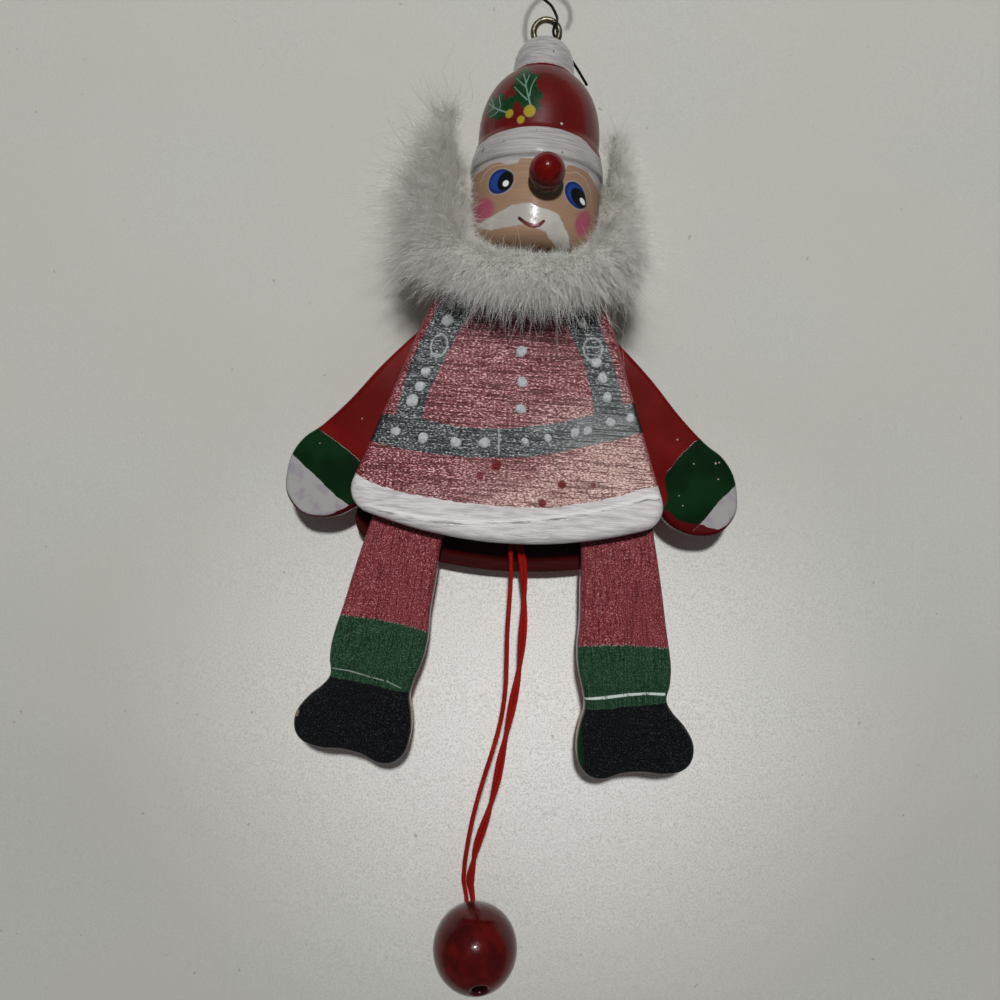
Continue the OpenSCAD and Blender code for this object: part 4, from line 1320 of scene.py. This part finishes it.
def face_paint():
    face, _, s, _, z, flat, fine, cloud, wander, white, lines = turned_paint("painted face")
    face.colour = face.shade(lines, 0.35, 0.65, ink(146, 117, 93), ink(154, 125, 100))
    face.lay(face.fade(cloud, 0.35, 0.7) * 0.5, ink(142, 112, 92))
    # Painted shade: the skin darkens towards the chin, where the face turns under.
    face.lay(face.fade(z, -54, -58.5) * 0.4, ink(118, 88, 68))
    for shape in CHEEKS:
        cheek = face.oval(s, z, *shape, 0.2)
        face.lay(cheek * (face.fade(lines, 0.3, 0.6) * 0.25 + 0.72), ink(158, 72, 98))
    for eye in EYES:
        face.lay(face.oval(s, z, *larger(eye["blue"], 1.09), 0.06) * 0.85, ink(152, 148, 146))
        core = face.oval(s, z, *larger(eye["blue"], 0.8), 0.25)
        iris = face.mix(core, ink(14, 30, 84), ink(28, 62, 136))
        face.lay(face.oval(s, z, *eye["blue"], 0.05), iris)
        face.lay(face.oval(s, z, *eye["black"], 0.1), ink(4, 4, 8))
        face.lay(face.oval(s, z, *eye["glint"], 0.18), ink(225, 228, 230))
    for line in LASHES:
        face.lay(face.strokes(flat, line, 0.14) * 0.75, ink(178, 154, 136))
    brush_flat = face.joined(s + wander, z + wander * 1.4)
    hair = face.shade(cloud, 0.35, 0.65, ink(168, 164, 158), ink(184, 181, 175))
    whiskers = face.most(*[face.strokes(brush_flat, line, 0.14) for line in MUSTACHE])
    face.lay(whiskers * 0.94, hair)
    lip = face.shade(s, -3.6, -2.2, ink(40, 3, 6), ink(96, 5, 10))
    face.lay(face.strokes(flat, MOUTH, 0.1), lip)
    brim = face.fade(z + wander * 0.5 - face.along(s, BRIM_FOOT), -0.08, 0.12)
    face.lay(brim, white)
    return face.shader(Roughness=fine * 0.1 + 0.5, Specular_IOR_Level=0.3, Coat_Roughness=0.22,
                       Coat_Weight=face.most(whiskers, brim) * face.fade(fine, 0.3, 0.7) + 0.05,
                       Normal=face.bump(lines + fine * 0.5, 0.05))


print("the face's paint is ready")

# %% [markdown]
# The hat is red gloss with two leaves and their yellow berries. Each leaf is drawn in a flat
# frame of its own that touches the hat, because unrolled lengths would stretch it on the
# dome. Its outline is a few strokes and discs joined into one mask.

# %% Hat
BERRY_COATS = ((1.08, 0.1, ink(140, 130, 60)), (0.82, 0.3, ink(160, 140, 22)))


def hat_paint():
    hat, spot, s, y, z, _, fine, cloud, wander, white, lines = turned_paint("painted hat")
    hat.colour = hat.shade(cloud, 0.3, 0.7, ink(84, 4, 6), ink(99, 6, 8))
    front = hat.fade(y, -2, -4)
    for leaf in LEAVES:
        out = hat.vector("SUBTRACT", spot, leaf["place"])
        across, upward = [hat.vector("DOT_PRODUCT", out, leaf[way], output="Value")
                          for way in ("across", "upward")]
        point = hat.joined(across, upward)
        shapes = [hat.strokes(point, leaf["blade"], 0.12)]
        shapes += [hat.disc(across, upward, (u, v), r, 0.1) for u, v, r in leaf["lobes"]]
        shapes += [hat.strokes(point, tip, 0.12) for tip in leaf["tips"]]
        green = hat.shade(fine, 0.35, 0.65, ink(4, 38, 12), ink(12, 62, 24))
        hat.lay(hat.most(*shapes) * front, green)
        for k, line in enumerate(leaf["veins"]):
            last = len(line) - 1
            width = 0.17 if k else 0.2
            brushed = [(u, v, width - 0.09 * i / last) for i, (u, v) in enumerate(line)]
            hat.lay(hat.strokes(point, brushed, 0.1) * front * 0.85, ink(118, 152, 136))
        for u, v, r in leaf["berries"]:
            for share, soft, colour in BERRY_COATS:
                hat.lay(hat.disc(across, upward, (u, v), r * share, soft) * front, colour)
    hat.lay(hat.oval(s, z, (5.09, -29.6), (0.34, 0), (0, 0.3), 0.2), ink(184, 168, 164))
    pompom = hat.fade(z + wander, -11.95, -11.8)
    red = hat.fade(z + wander * 0.4 - hat.along(s, BRIM_EDGE), -0.08, 0.1) * (1 - pompom)
    hat.colour = hat.mix(red, white, hat.colour)
    return hat.shader(Roughness=0.5 - red * 0.12 + fine * 0.08, Specular_IOR_Level=0.3,
                      Coat_Weight=0.9 - red * 0.5,
                      Normal=hat.bump(lines * (1.1 - red) + fine * 0.4, 0.05))


print("the hat's paint is ready")

# %% [markdown]
# One mesh carries both finishes. The faces above the middle of the brim take the hat's, so
# the change is hidden in the white paint that both share.

# %% The head's piece
turned_head = piece("turned_head", head_corners, head_faces, "figure", "head", face_paint(),
                    ["head"])
turned_head.data.materials.append(hat_paint())
for face in turned_head.data.polygons:
    face.material_index = int(face.center.z > (BRIM_TOP - 4) * MM)
print("head", len(turned_head.data.polygons), "faces")

# %% [markdown]
# ## Nose and its glue
#
# The nose is a small ball bead, flattened a little at the back where it sits in glue. The
# glue has squeezed out into a low brown ring below it, shiny and thin at its border.

# %% Nose
NOSE_R = 4.1
NOSE_AT = (2.0, -19.15, -43.0)


def ball(centre, radius, rows, turns):
    """A ball whose poles lie along Y."""
    turn = np.linspace(0.02, math.pi - 0.02, rows)
    corners, faces = lathe(radius * np.stack([np.sin(turn), -np.cos(turn)], axis=1), turns)
    return corners[:, [0, 2, 1]] * (1, 1, -1) + centre, faces


def glossy_red(name, dark, light, rough, depth, centre=(0, 0, 0), hole=None):
    gloss = Finish(name)
    spot = gloss.place()
    cloud = gloss.noise(spot, 0.22, 3, 0.6)
    fine = gloss.noise(spot, 1.5, 3, 0.6)
    gloss.colour = gloss.shade(cloud, 0.35, 0.68, dark, light)
    # Painted shade: inside the hole, near its axis, the paint is near-black.
    if hole:
        out = gloss.vector("SUBTRACT", spot, centre)
        beside = gloss.vector("CROSS_PRODUCT", out, hole)
        off_axis = gloss.vector("LENGTH", beside, output="Value")
        gloss.lay(gloss.fade(off_axis, 2.2, 1.6), ink(22, 4, 4))
    return gloss.shader(Roughness=fine * 0.14 + rough, Coat_Weight=0.35, Specular_IOR_Level=0.2,
                        Normal=gloss.bump(cloud + fine * 0.2, depth))


nose_corners, nose_faces = ball(NOSE_AT, NOSE_R, 56, 96)
nose_x, nose_y = nose_corners[:, 0], nose_corners[:, 1]
glue_r = FACE_R + 0.05
inside = np.hypot(nose_x, nose_y) < glue_r
nose_corners[inside, 1] = -np.sqrt(np.maximum(glue_r**2 - nose_x[inside] ** 2, 0))
piece("nose_ball", nose_corners, nose_faces, "figure", "nose_bead",
      glossy_red("nose red", ink(84, 3, 4), ink(112, 8, 8), 0.16, 0.2), ["nose_bead"])


def glue_ring():
    """A flared collar of glue between the face and the nose, heavier at its lower side."""
    angle = np.arange(80) / 80 * 2 * math.pi
    lower = np.clip(-np.sin(angle), 0, 1)
    random = np.random.default_rng(5)
    waver = 1 + 0.05 * np.sin(3 * angle + random.uniform(0, 6)) + 0.03 * np.sin(7 * angle)
    rings = []
    for share in np.linspace(0, 1, 9):
        r = 3.2 + (0.3 + 0.45 * lower) * waver * share
        height = (0.6 + 0.2 * lower) * (1 - share) ** 2 + 0.02
        x = NOSE_AT[0] + r * np.cos(angle)
        z = NOSE_AT[2] + r * np.sin(angle)
        y = -np.sqrt(np.maximum(FACE_R**2 - x**2, 0)) - height
        rings.append(np.stack([x, y, z], axis=1))
    rings.append(rings[-1] + (0, 0.35, 0))
    rings.append(rings[0] + (0, 1.2, 0))
    return np.vstack(rings), quads(len(rings), len(angle), closed=True).tolist()


glue_mat = clouded("old glue", (1.0, 3, 0.7), (0.4, 0.7), ink(112, 94, 72),
                   ink(150, 134, 106), 0.12, Roughness=0.22)
piece("nose_glue", *glue_ring(), "figure", "nose_bead", glue_mat)
print("nose", len(nose_faces), "faces")

# %% [markdown]
# ## Screw eye, hook and pull bead
#
# The eye is steel wire bent almost shut, with a screw thread on its shank. The hook is
# thinner dark wire. The bead was turned and drilled, and then dipped in glossy red paint,
# so its hole has a soft round mouth.

# %% Wires
EYE_R, EYE_WIRE = 3.2, 0.8
HOOK_ROUTE = [
    (11.6, 8, -8.2), (10.2, 7.2, -6.6), (8.4, 6, -4.8), (6.2, 4.4, -3), (4, 2.7, -1.4),
    (2.5, 1.6, -0.3), (1.8, 0.6, 0.3), (1.7, -0.5, 0.7), (2, -1.4, 1.3), (2.4, -1.8, 2.4),
    (1.9, -1.7, 3.9), (0.7, -1.4, 6), (-1.1, -1.1, 7.6), (-3.2, -0.7, 9.8),
    (-4.9, -0.3, 12.8), (-5.5, 0, 16.4), (-5, 0, 20), (-3, 0, 23.4), (0, 0, 25.2),
    (3.4, 0, 24.8), (5.9, 0, 22.4), (6.4, 0, 19.2), (5.5, 0, 16.6)]


def wire_metal(name, dark, light, rough):
    metal = Finish(name)
    spot = metal.place()
    cloud = metal.noise(spot, 0.7, 3, 0.6)
    fine = metal.noise(spot, 3.5, 3, 0.6)
    return metal.shader(Base_Color=metal.shade(cloud, 0.35, 0.65, dark, light), Metallic=0.9,
                        Roughness=fine * 0.25 + rough, Normal=metal.bump(fine, 0.03))


ring_turn = np.radians(np.linspace(-100, 248, 110))
ring_line = np.stack([EYE_R * np.cos(ring_turn), 0 * ring_turn, EYE_R * np.sin(ring_turn)],
                     axis=1)
shank_z = np.linspace(-EYE_R - 0.2, -13.4, 240)
thread_turn = shank_z / 0.9 * 2 * math.pi
shank_r = np.where(shank_z > -5.2, 0.78, 0.62 + 0.14 * np.cos(thread_turn))
shank_profile = np.stack([np.append(shank_r, 0.05), np.append(shank_z, -13.6)], axis=1)
eye_wire = merged([tube(ring_line, EYE_WIRE, 18), lathe(shank_profile, 20)])
piece("eye_wire", *eye_wire, "figure", "screw_eye",
      wire_metal("dull nickel", ink(70, 62, 50), ink(150, 142, 124), 0.2), ["screw_eye"])
hook_line = smooth_path(HOOK_ROUTE, 0.35)
piece("hook_wire", *tube(hook_line, 0.35, 12), "hook", "ornament_hook",
      wire_metal("dark wire", ink(26, 30, 28), ink(52, 58, 54), 0.3), ["ornament_hook"])
print("wires are bent")

# %% [markdown]
# The bead's section is a closed loop: the outside, a mouth, the hole and the other mouth.
# Turning that loop makes the bead in one go, and its mouths are round. A Boolean would
# leave them sharp.

# %% Drilled bead
BEAD_R, BEAD_HOLE_R = 10.3, 1.7
BEAD_AT = (-1.9, 0.1, -226.8)
BEAD_LIE = (Matrix.Rotation(math.radians(-17), 3, "Y")
            @ Matrix.Rotation(math.radians(-55), 3, "X"))


def drilled_bead(rows=72, turns=120):
    """A ball with a hole along Z and round mouths, turned to lie as it hangs."""
    lip = 0.9
    start = math.asin((BEAD_HOLE_R + lip) / BEAD_R)
    turn = np.linspace(start, math.pi - start, rows)
    outside = np.stack([BEAD_R * np.sin(turn), BEAD_R * np.cos(turn)], axis=1)
    top = outside[0][1]
    mouth = np.linspace(0, math.pi / 2, 7)
    rim = np.stack([BEAD_HOLE_R + lip * (1 - np.sin(mouth)), top - lip * (1 - np.cos(mouth))
                    + 0.06 * np.sin(2 * mouth)], axis=1)[1:]
    well = np.stack([np.full(14, BEAD_HOLE_R), np.linspace(rim[-1][1], -rim[-1][1], 16)[1:-1]],
                    axis=1)
    loop = np.vstack([outside, rim * (1, -1), well[::-1], rim[::-1]])
    corners = turned(loop, turns) @ np.array(BEAD_LIE).T + BEAD_AT
    return corners, quads(len(loop), turns, closed=True).tolist()


bead_paint = glossy_red("bead red", ink(62, 5, 7), ink(92, 12, 11), 0.16, 0.16, BEAD_AT,
                        tuple(BEAD_LIE.col[2]))
bead = piece("drilled_bead", *drilled_bead(), "pull", "pull_bead", bead_paint,
             ["pull_bead"])
print("bead", len(bead.data.polygons), "faces")

# %% [markdown]
# ## Painted dots
#
# The white dots are drops of thick paint, each touched on with the end of a stick. They
# stand up from the coat as low domes, so the lamp catches them. They are one piece.

# %% Dots
DOTS = [
    (-18.9, -75.4, 1.4), (-18.3, -71.7, 1.0), (-23.2, -88.0, 1.15),
    (-24.3, -91.6, 1.25), (-25.9, -95.1, 1.5), (10.3, -69.7, 0.9), (13.1, -73.8, 1.2),
    (17.2, -83.1, 1.25), (18.9, -86.6, 1.25), (20.3, -91.1, 1.2), (-0.8, -81.6, 1.35),
    (-0.1, -88.9, 1.3), (0, -95.3, 1.25), (-29.3, -102.7, 1.15), (-22.7, -103.8, 1.3),
    (-14.9, -104.3, 1.3), (-8.1, -103.9, 1.3), (1.5, -102.9, 0.9), (6.9, -101.8, 1.0),
    (13.2, -100.1, 1.15), (16.2, -99.4, 1.1), (21.5, -97, 1.2), (26.1, -95.7, 1.15)]
DOT_SIDES = 22


def dots(places):
    random = np.random.default_rng(11)
    parts = []
    angle = np.arange(DOT_SIDES) / DOT_SIDES * 2 * math.pi
    for x, z, r in places:
        uneven = 1 + 0.07 * np.sin(2 * angle + random.uniform(0, 6)) \
            + 0.04 * np.sin(3 * angle + random.uniform(0, 6))
        rings = []
        for share in (1.0, 0.97, 0.86, 0.68, 0.45, 0.22, 0.05):
            lift = -0.05 + 0.36 * math.sqrt(max(1 - share**2, 0)) ** 0.8
            rings.append(np.stack([x + r * share * uneven * np.cos(angle),
                                   np.full(DOT_SIDES, FRONT - lift),
                                   z + r * share * uneven * np.sin(angle)], axis=1))
        parts.append((np.vstack(rings), capped(len(rings), DOT_SIDES)))
    return merged(parts)


drop_mat = clouded("white drops", (1.4, 3, 0.6), (0.35, 0.65), ink(158, 163, 165),
                   ink(194, 198, 198), 0.3, Roughness=0.34, Coat_Weight=0.4)
piece("paint_drops", *dots(DOTS), "figure", "front_board", drop_mat)
print(len(DOTS), "dots of paint")

# %% [markdown]
# ## Hidden wood and strings
#
# The parts between the boards show only from the side and from below. They keep the CAD
# model's shapes and get bare wood and red thread.

# %% Materials for the inner parts
def bare_wood(name, dark, light):
    wood = Finish(name)
    spot = wood.place()
    grain = wood.noise(spot, 0.9, 4, 0.6, stretch=(1.2, 1.2, 0.15))
    wood.colour = wood.shade(grain, 0.35, 0.65, dark, light)
    return wood.shader(Roughness=grain * 0.2 + 0.5, Normal=wood.bump(grain, 0.05))


pale_wood = bare_wood("pale wood", ink(150, 112, 78), ink(196, 160, 118))
for node in ("neck_block", "neck_dowel", "pivot_pins"):
    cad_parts[node].data.materials[0] = pale_wood
for node in ("arm_string", "leg_string", "centre_string", "tie_knots"):
    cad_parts[node].data.materials[0] = red_thread
print("inner parts are dressed")

# %% [markdown]
# ## Fur beard
#
# The beard and the side hair are strips of long-haired craft fur glued round the head. The
# pelt is a thin soft backing; the hair is what one sees. Every hair is its own tapered
# strand of mesh, grown in tufts that share a direction, because loose fur clumps. The flow
# field is one set of places and directions, blended by nearness: up beside the hat, out
# beside the face and down under the chin.

# %% Pelt
PELT = np.array([
    [-22.3, -1, -22, 0.4], [-22.4, -3, -33, 1.9], [-20.7, -4.5, -44, 4.2],
    [-20.4, -9.5, -55.5, 4.8], [-13.5, -14.8, -63.6, 4.1], [-2, -16.8, -65.1, 3.6],
    [9, -15.7, -64.4, 3.7], [17.8, -10, -58, 4.2], [19.9, -3, -46, 3.2],
    [19.6, -0.5, -35, 1.8], [18.8, 0.5, -25, 0.4]])
pelt_run = run_of(PELT[:, :3])
middles = smooth_path(PELT[:, :3], 1.0)
pelt_r = np.interp(np.linspace(0, pelt_run[-1], len(middles)), pelt_run, PELT[:, 3])


def kept_clear(points, room):
    """Moves points out of the turned head and off the coat's front."""
    p = np.array(points)
    near = np.hypot(p[:, 0], p[:, 1])
    wide = np.interp(p[:, 2], [CHIN - 0.01, CHIN, FACE_TOP, FACE_TOP + 0.6, BRIM_TOP, -20, -13],
                     [0, FACE_R, FACE_R, BRIM_R, HAT_R, HAT_R - 1.2, POMPOM_R], left=0) + room
    inside = (near < wide) & (p[:, 2] > CHIN - room)
    push = np.where(inside, wide / np.maximum(near, 0.1), 1)
    p[:, :2] *= push[:, None]
    half_w = 13 + (CHIN - p[:, 2]) * 0.36
    over = (p[:, 2] < CHIN) & (abs(p[:, 0] - BOARD_SHIFT) < half_w + 1)
    p[:, 1] = np.where(over, np.minimum(p[:, 1], FRONT - room), p[:, 1])
    return p


pelt_corners, pelt_faces = tube(middles, pelt_r, 28)
pelt_noise = np.random.default_rng(2).normal(0, 0.12, pelt_corners.shape)
pelt_corners = kept_clear(pelt_corners + pelt_noise, 0.15)
pelt_mat = clouded("fur backing", (1.2, 3, 0.7), (0.3, 0.7), ink(128, 122, 112),
                   ink(186, 180, 168), 0.5, Roughness=0.9)
piece("fur_pelt", pelt_corners, pelt_faces, "figure", "fur_beard", pelt_mat, ["fur_beard"])
print("pelt radius", pelt_r.min().round(1), "to", pelt_r.max().round(1), "mm")

# %% [markdown]
# Each row of the flow gives a place, the way the hair lies there and its length. Hair on
# the side of the pelt that faces away from the flow is short and stands up, so the fur
# closes up against the face and the brim. Lengths vary widely, which makes the border thin
# out softly, and a few long loose hairs stand clear of the rest.

# %% Strands
FLOW = np.array([
    [-20.5, -1, -22, -0.25, -0.10, 0.95, 13], [-22, -3, -33, -0.75, -0.15, 0.55, 12.5],
    [-24, -4, -44, -1.00, -0.15, 0.00, 13], [-23, -9, -55, -0.95, -0.25, -0.28, 13],
    [-16, -14, -65, -0.70, -0.30, -0.60, 7.5], [-6, -16.5, -67, -0.15, -0.30, -0.95, 7.2],
    [3, -16.5, -67, 0.05, -0.30, -0.95, 7.2], [12, -15, -66, 0.35, -0.30, -0.80, 6.8],
    [19, -10, -57, 0.65, -0.30, -0.65, 10], [21.5, -3, -46, 0.80, -0.20, -0.40, 6.5],
    [20.5, -0.5, -35, 0.60, -0.10, 0.50, 6.5], [18.8, 0.5, -25, 0.15, -0.10, 1.00, 12]])
STRAND_RINGS = 5
STRAND_SIDES = 3
STRAND_TAPER = np.array([1.0, 0.92, 0.76, 0.52, 0.2])
HAIRS_PER_TUFT = 16
LOOSE_SHARE = 0.06
FUR_FRONT, FUR_BACK = -27, 12.0


def grow(roots, outwards, seed):
    """Hair lines [strand, ring, xyz] from their roots, by flow, tuft and gravity."""
    random = np.random.default_rng(seed)
    count = len(roots)
    tufts = roots[random.choice(count, count // HAIRS_PER_TUFT, replace=False)]
    tree = KDTree(len(tufts))
    for k, tuft in enumerate(tufts):
        tree.insert(tuft, k)
    tree.balance()
    tuft_of = np.array([tree.find(root)[1] for root in roots])
    weight = 1 / (np.linalg.norm(roots[:, None] - FLOW[None, :, :3], axis=2) ** 3 + 1)
    lie = (weight[:, :, None] * FLOW[None, :, 3:]).sum(1) / weight.sum(1)[:, None]
    flow, length = unit(lie[:, :3]), lie[:, 3]
    along = ((flow * outwards).sum(1) + 1) / 2
    length = length * (0.24 + 0.76 * along) * random.uniform(0.2, 1.08, count)
    length = np.where(random.random(count) < LOOSE_SHARE, length * 1.8, length)
    tuft_way = random.normal(0, 0.22, tufts.shape)[tuft_of]
    way = unit(flow * (0.35 + 0.65 * along)[:, None] + 0.62 * outwards + tuft_way
               + random.normal(0, 0.26, roots.shape))
    bend = random.normal(0, 0.5, roots.shape) + tuft_way
    bend[:, 2] -= 0.12
    curl = random.normal(0, 0.07, roots.shape)
    lines = [roots]
    for k in range(1, STRAND_RINGS):
        share = k / (STRAND_RINGS - 1)
        line = way * share + bend * share**2 * 0.4 + curl * math.sin(share * 5.5)
        lines.append(roots + line * length[:, None])
    lines = np.stack(lines, axis=1)
    clear = kept_clear(lines.reshape(-1, 3), 0.25).reshape(lines.shape)
    y = np.minimum(clear[:, :, 1], FUR_BACK)
    clear[:, :, 1] = np.where(y < FUR_FRONT, FUR_FRONT + (y - FUR_FRONT) * 0.5, y)
    return clear


print("hair can be grown")

# %% [markdown]
# A hair is five rings of three corners. Hair curves would be lighter, but the toy is
# exported as meshes. The arrays go straight into the mesh, because Python lists of so many
# corners are slow.

# %% Strand meshes
def strand_mesh(lines, thick):
    """Corners and faces of three-sided strands that taper to their tips."""
    way = unit(lines[:, -1] - lines[:, 0])
    u = unit(np.cross(way, [0.2, 1.0, 0.3]))
    ring = hoops(u, np.cross(way, u), STRAND_SIDES)
    taper = thick * STRAND_TAPER
    corners = lines[:, :, None] + ring[:, None] * taper[None, :, None, None]
    first = (np.arange(len(lines)) * STRAND_RINGS * STRAND_SIDES)[:, None, None]
    faces = first + quads(STRAND_RINGS, STRAND_SIDES)
    return corners.reshape(-1, 3), faces.reshape(-1, 4)


def hair(name, corners, faces, material):
    """A strand piece built with whole arrays, because it has so many corners."""
    mesh = bpy.data.meshes.new(name)
    mesh.vertices.add(len(corners))
    mesh.vertices.foreach_set("co", (corners * MM).ravel())
    mesh.loops.add(faces.size)
    mesh.loops.foreach_set("vertex_index", faces.ravel())
    mesh.polygons.add(len(faces))
    mesh.polygons.foreach_set("loop_start", np.arange(0, faces.size, 4))
    mesh.update(calc_edges=True)
    mesh.materials.append(material)
    made = shown(name, mesh)
    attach(made, "figure")


print("each hair has", STRAND_SIDES, "sides")

# %% [markdown]
# The fur is off-white, paler in the middle of the beard and yellow with glue at the face's
# left edge. Hair grows at random places along the pelt, more where it is thick. It is split
# into pieces, so that none is too heavy to export.

# %% White fur
fur = Finish("white fur")
fur_spot = fur.place()
fur_cloud = fur.noise(fur_spot, 0.25, 3, 0.6)
fur_x, fur_y, fur_z = fur.parts(fur_spot)
fur.colour = fur.shade(fur_cloud, 0.35, 0.65, ink(220, 218, 210), ink(242, 240, 234))
middle = fur.oval(fur_x, fur_z, (-4, -63), (17, 3), (-2, 9), 0.9)
fur.lay(middle * 0.8, ink(252, 251, 246))
glued = fur.oval(fur_x, fur_z, (-20.5, -38), (2.4, 0), (0, 4.5), 0.8) * fur.fade(fur_y, -3, -1)
fur.lay(glued * 0.5, ink(186, 166, 96))
fur_mat = fur.shader(Roughness=fur_cloud * 0.1 + 0.5, Specular_IOR_Level=0.3)
HAIRS = 60000
HAIRS_PER_PIECE = 8000
THICK = 0.036

random = np.random.default_rng(41)
share = pelt_r[:-1] ** 1.3 + 0.15
share /= share.sum()
place = random.choice(len(middles) - 1, HAIRS, p=share)
around = random.uniform(0, 2 * math.pi, HAIRS)
pelt_u, pelt_v = path_frames(middles)
outwards = (pelt_u[place] * np.cos(around)[:, None] + pelt_v[place] * np.sin(around)[:, None])
roots = (middles[place] + outwards * (pelt_r[place] * 0.9)[:, None]
         + random.normal(0, 0.3, (HAIRS, 3)))
roots = kept_clear(roots, 0.2)
strands = grow(roots, outwards, 42)
for k, start in enumerate(range(0, HAIRS, HAIRS_PER_PIECE)):
    hair("fur_strands_" + str(k + 1),
         *strand_mesh(strands[start:start + HAIRS_PER_PIECE], THICK), fur_mat)
low, high = strands.reshape(-1, 3).min(0), strands.reshape(-1, 3).max(0)
print("fur from", low.round(1), "to", high.round(1), "mm,", HAIRS, "hairs")
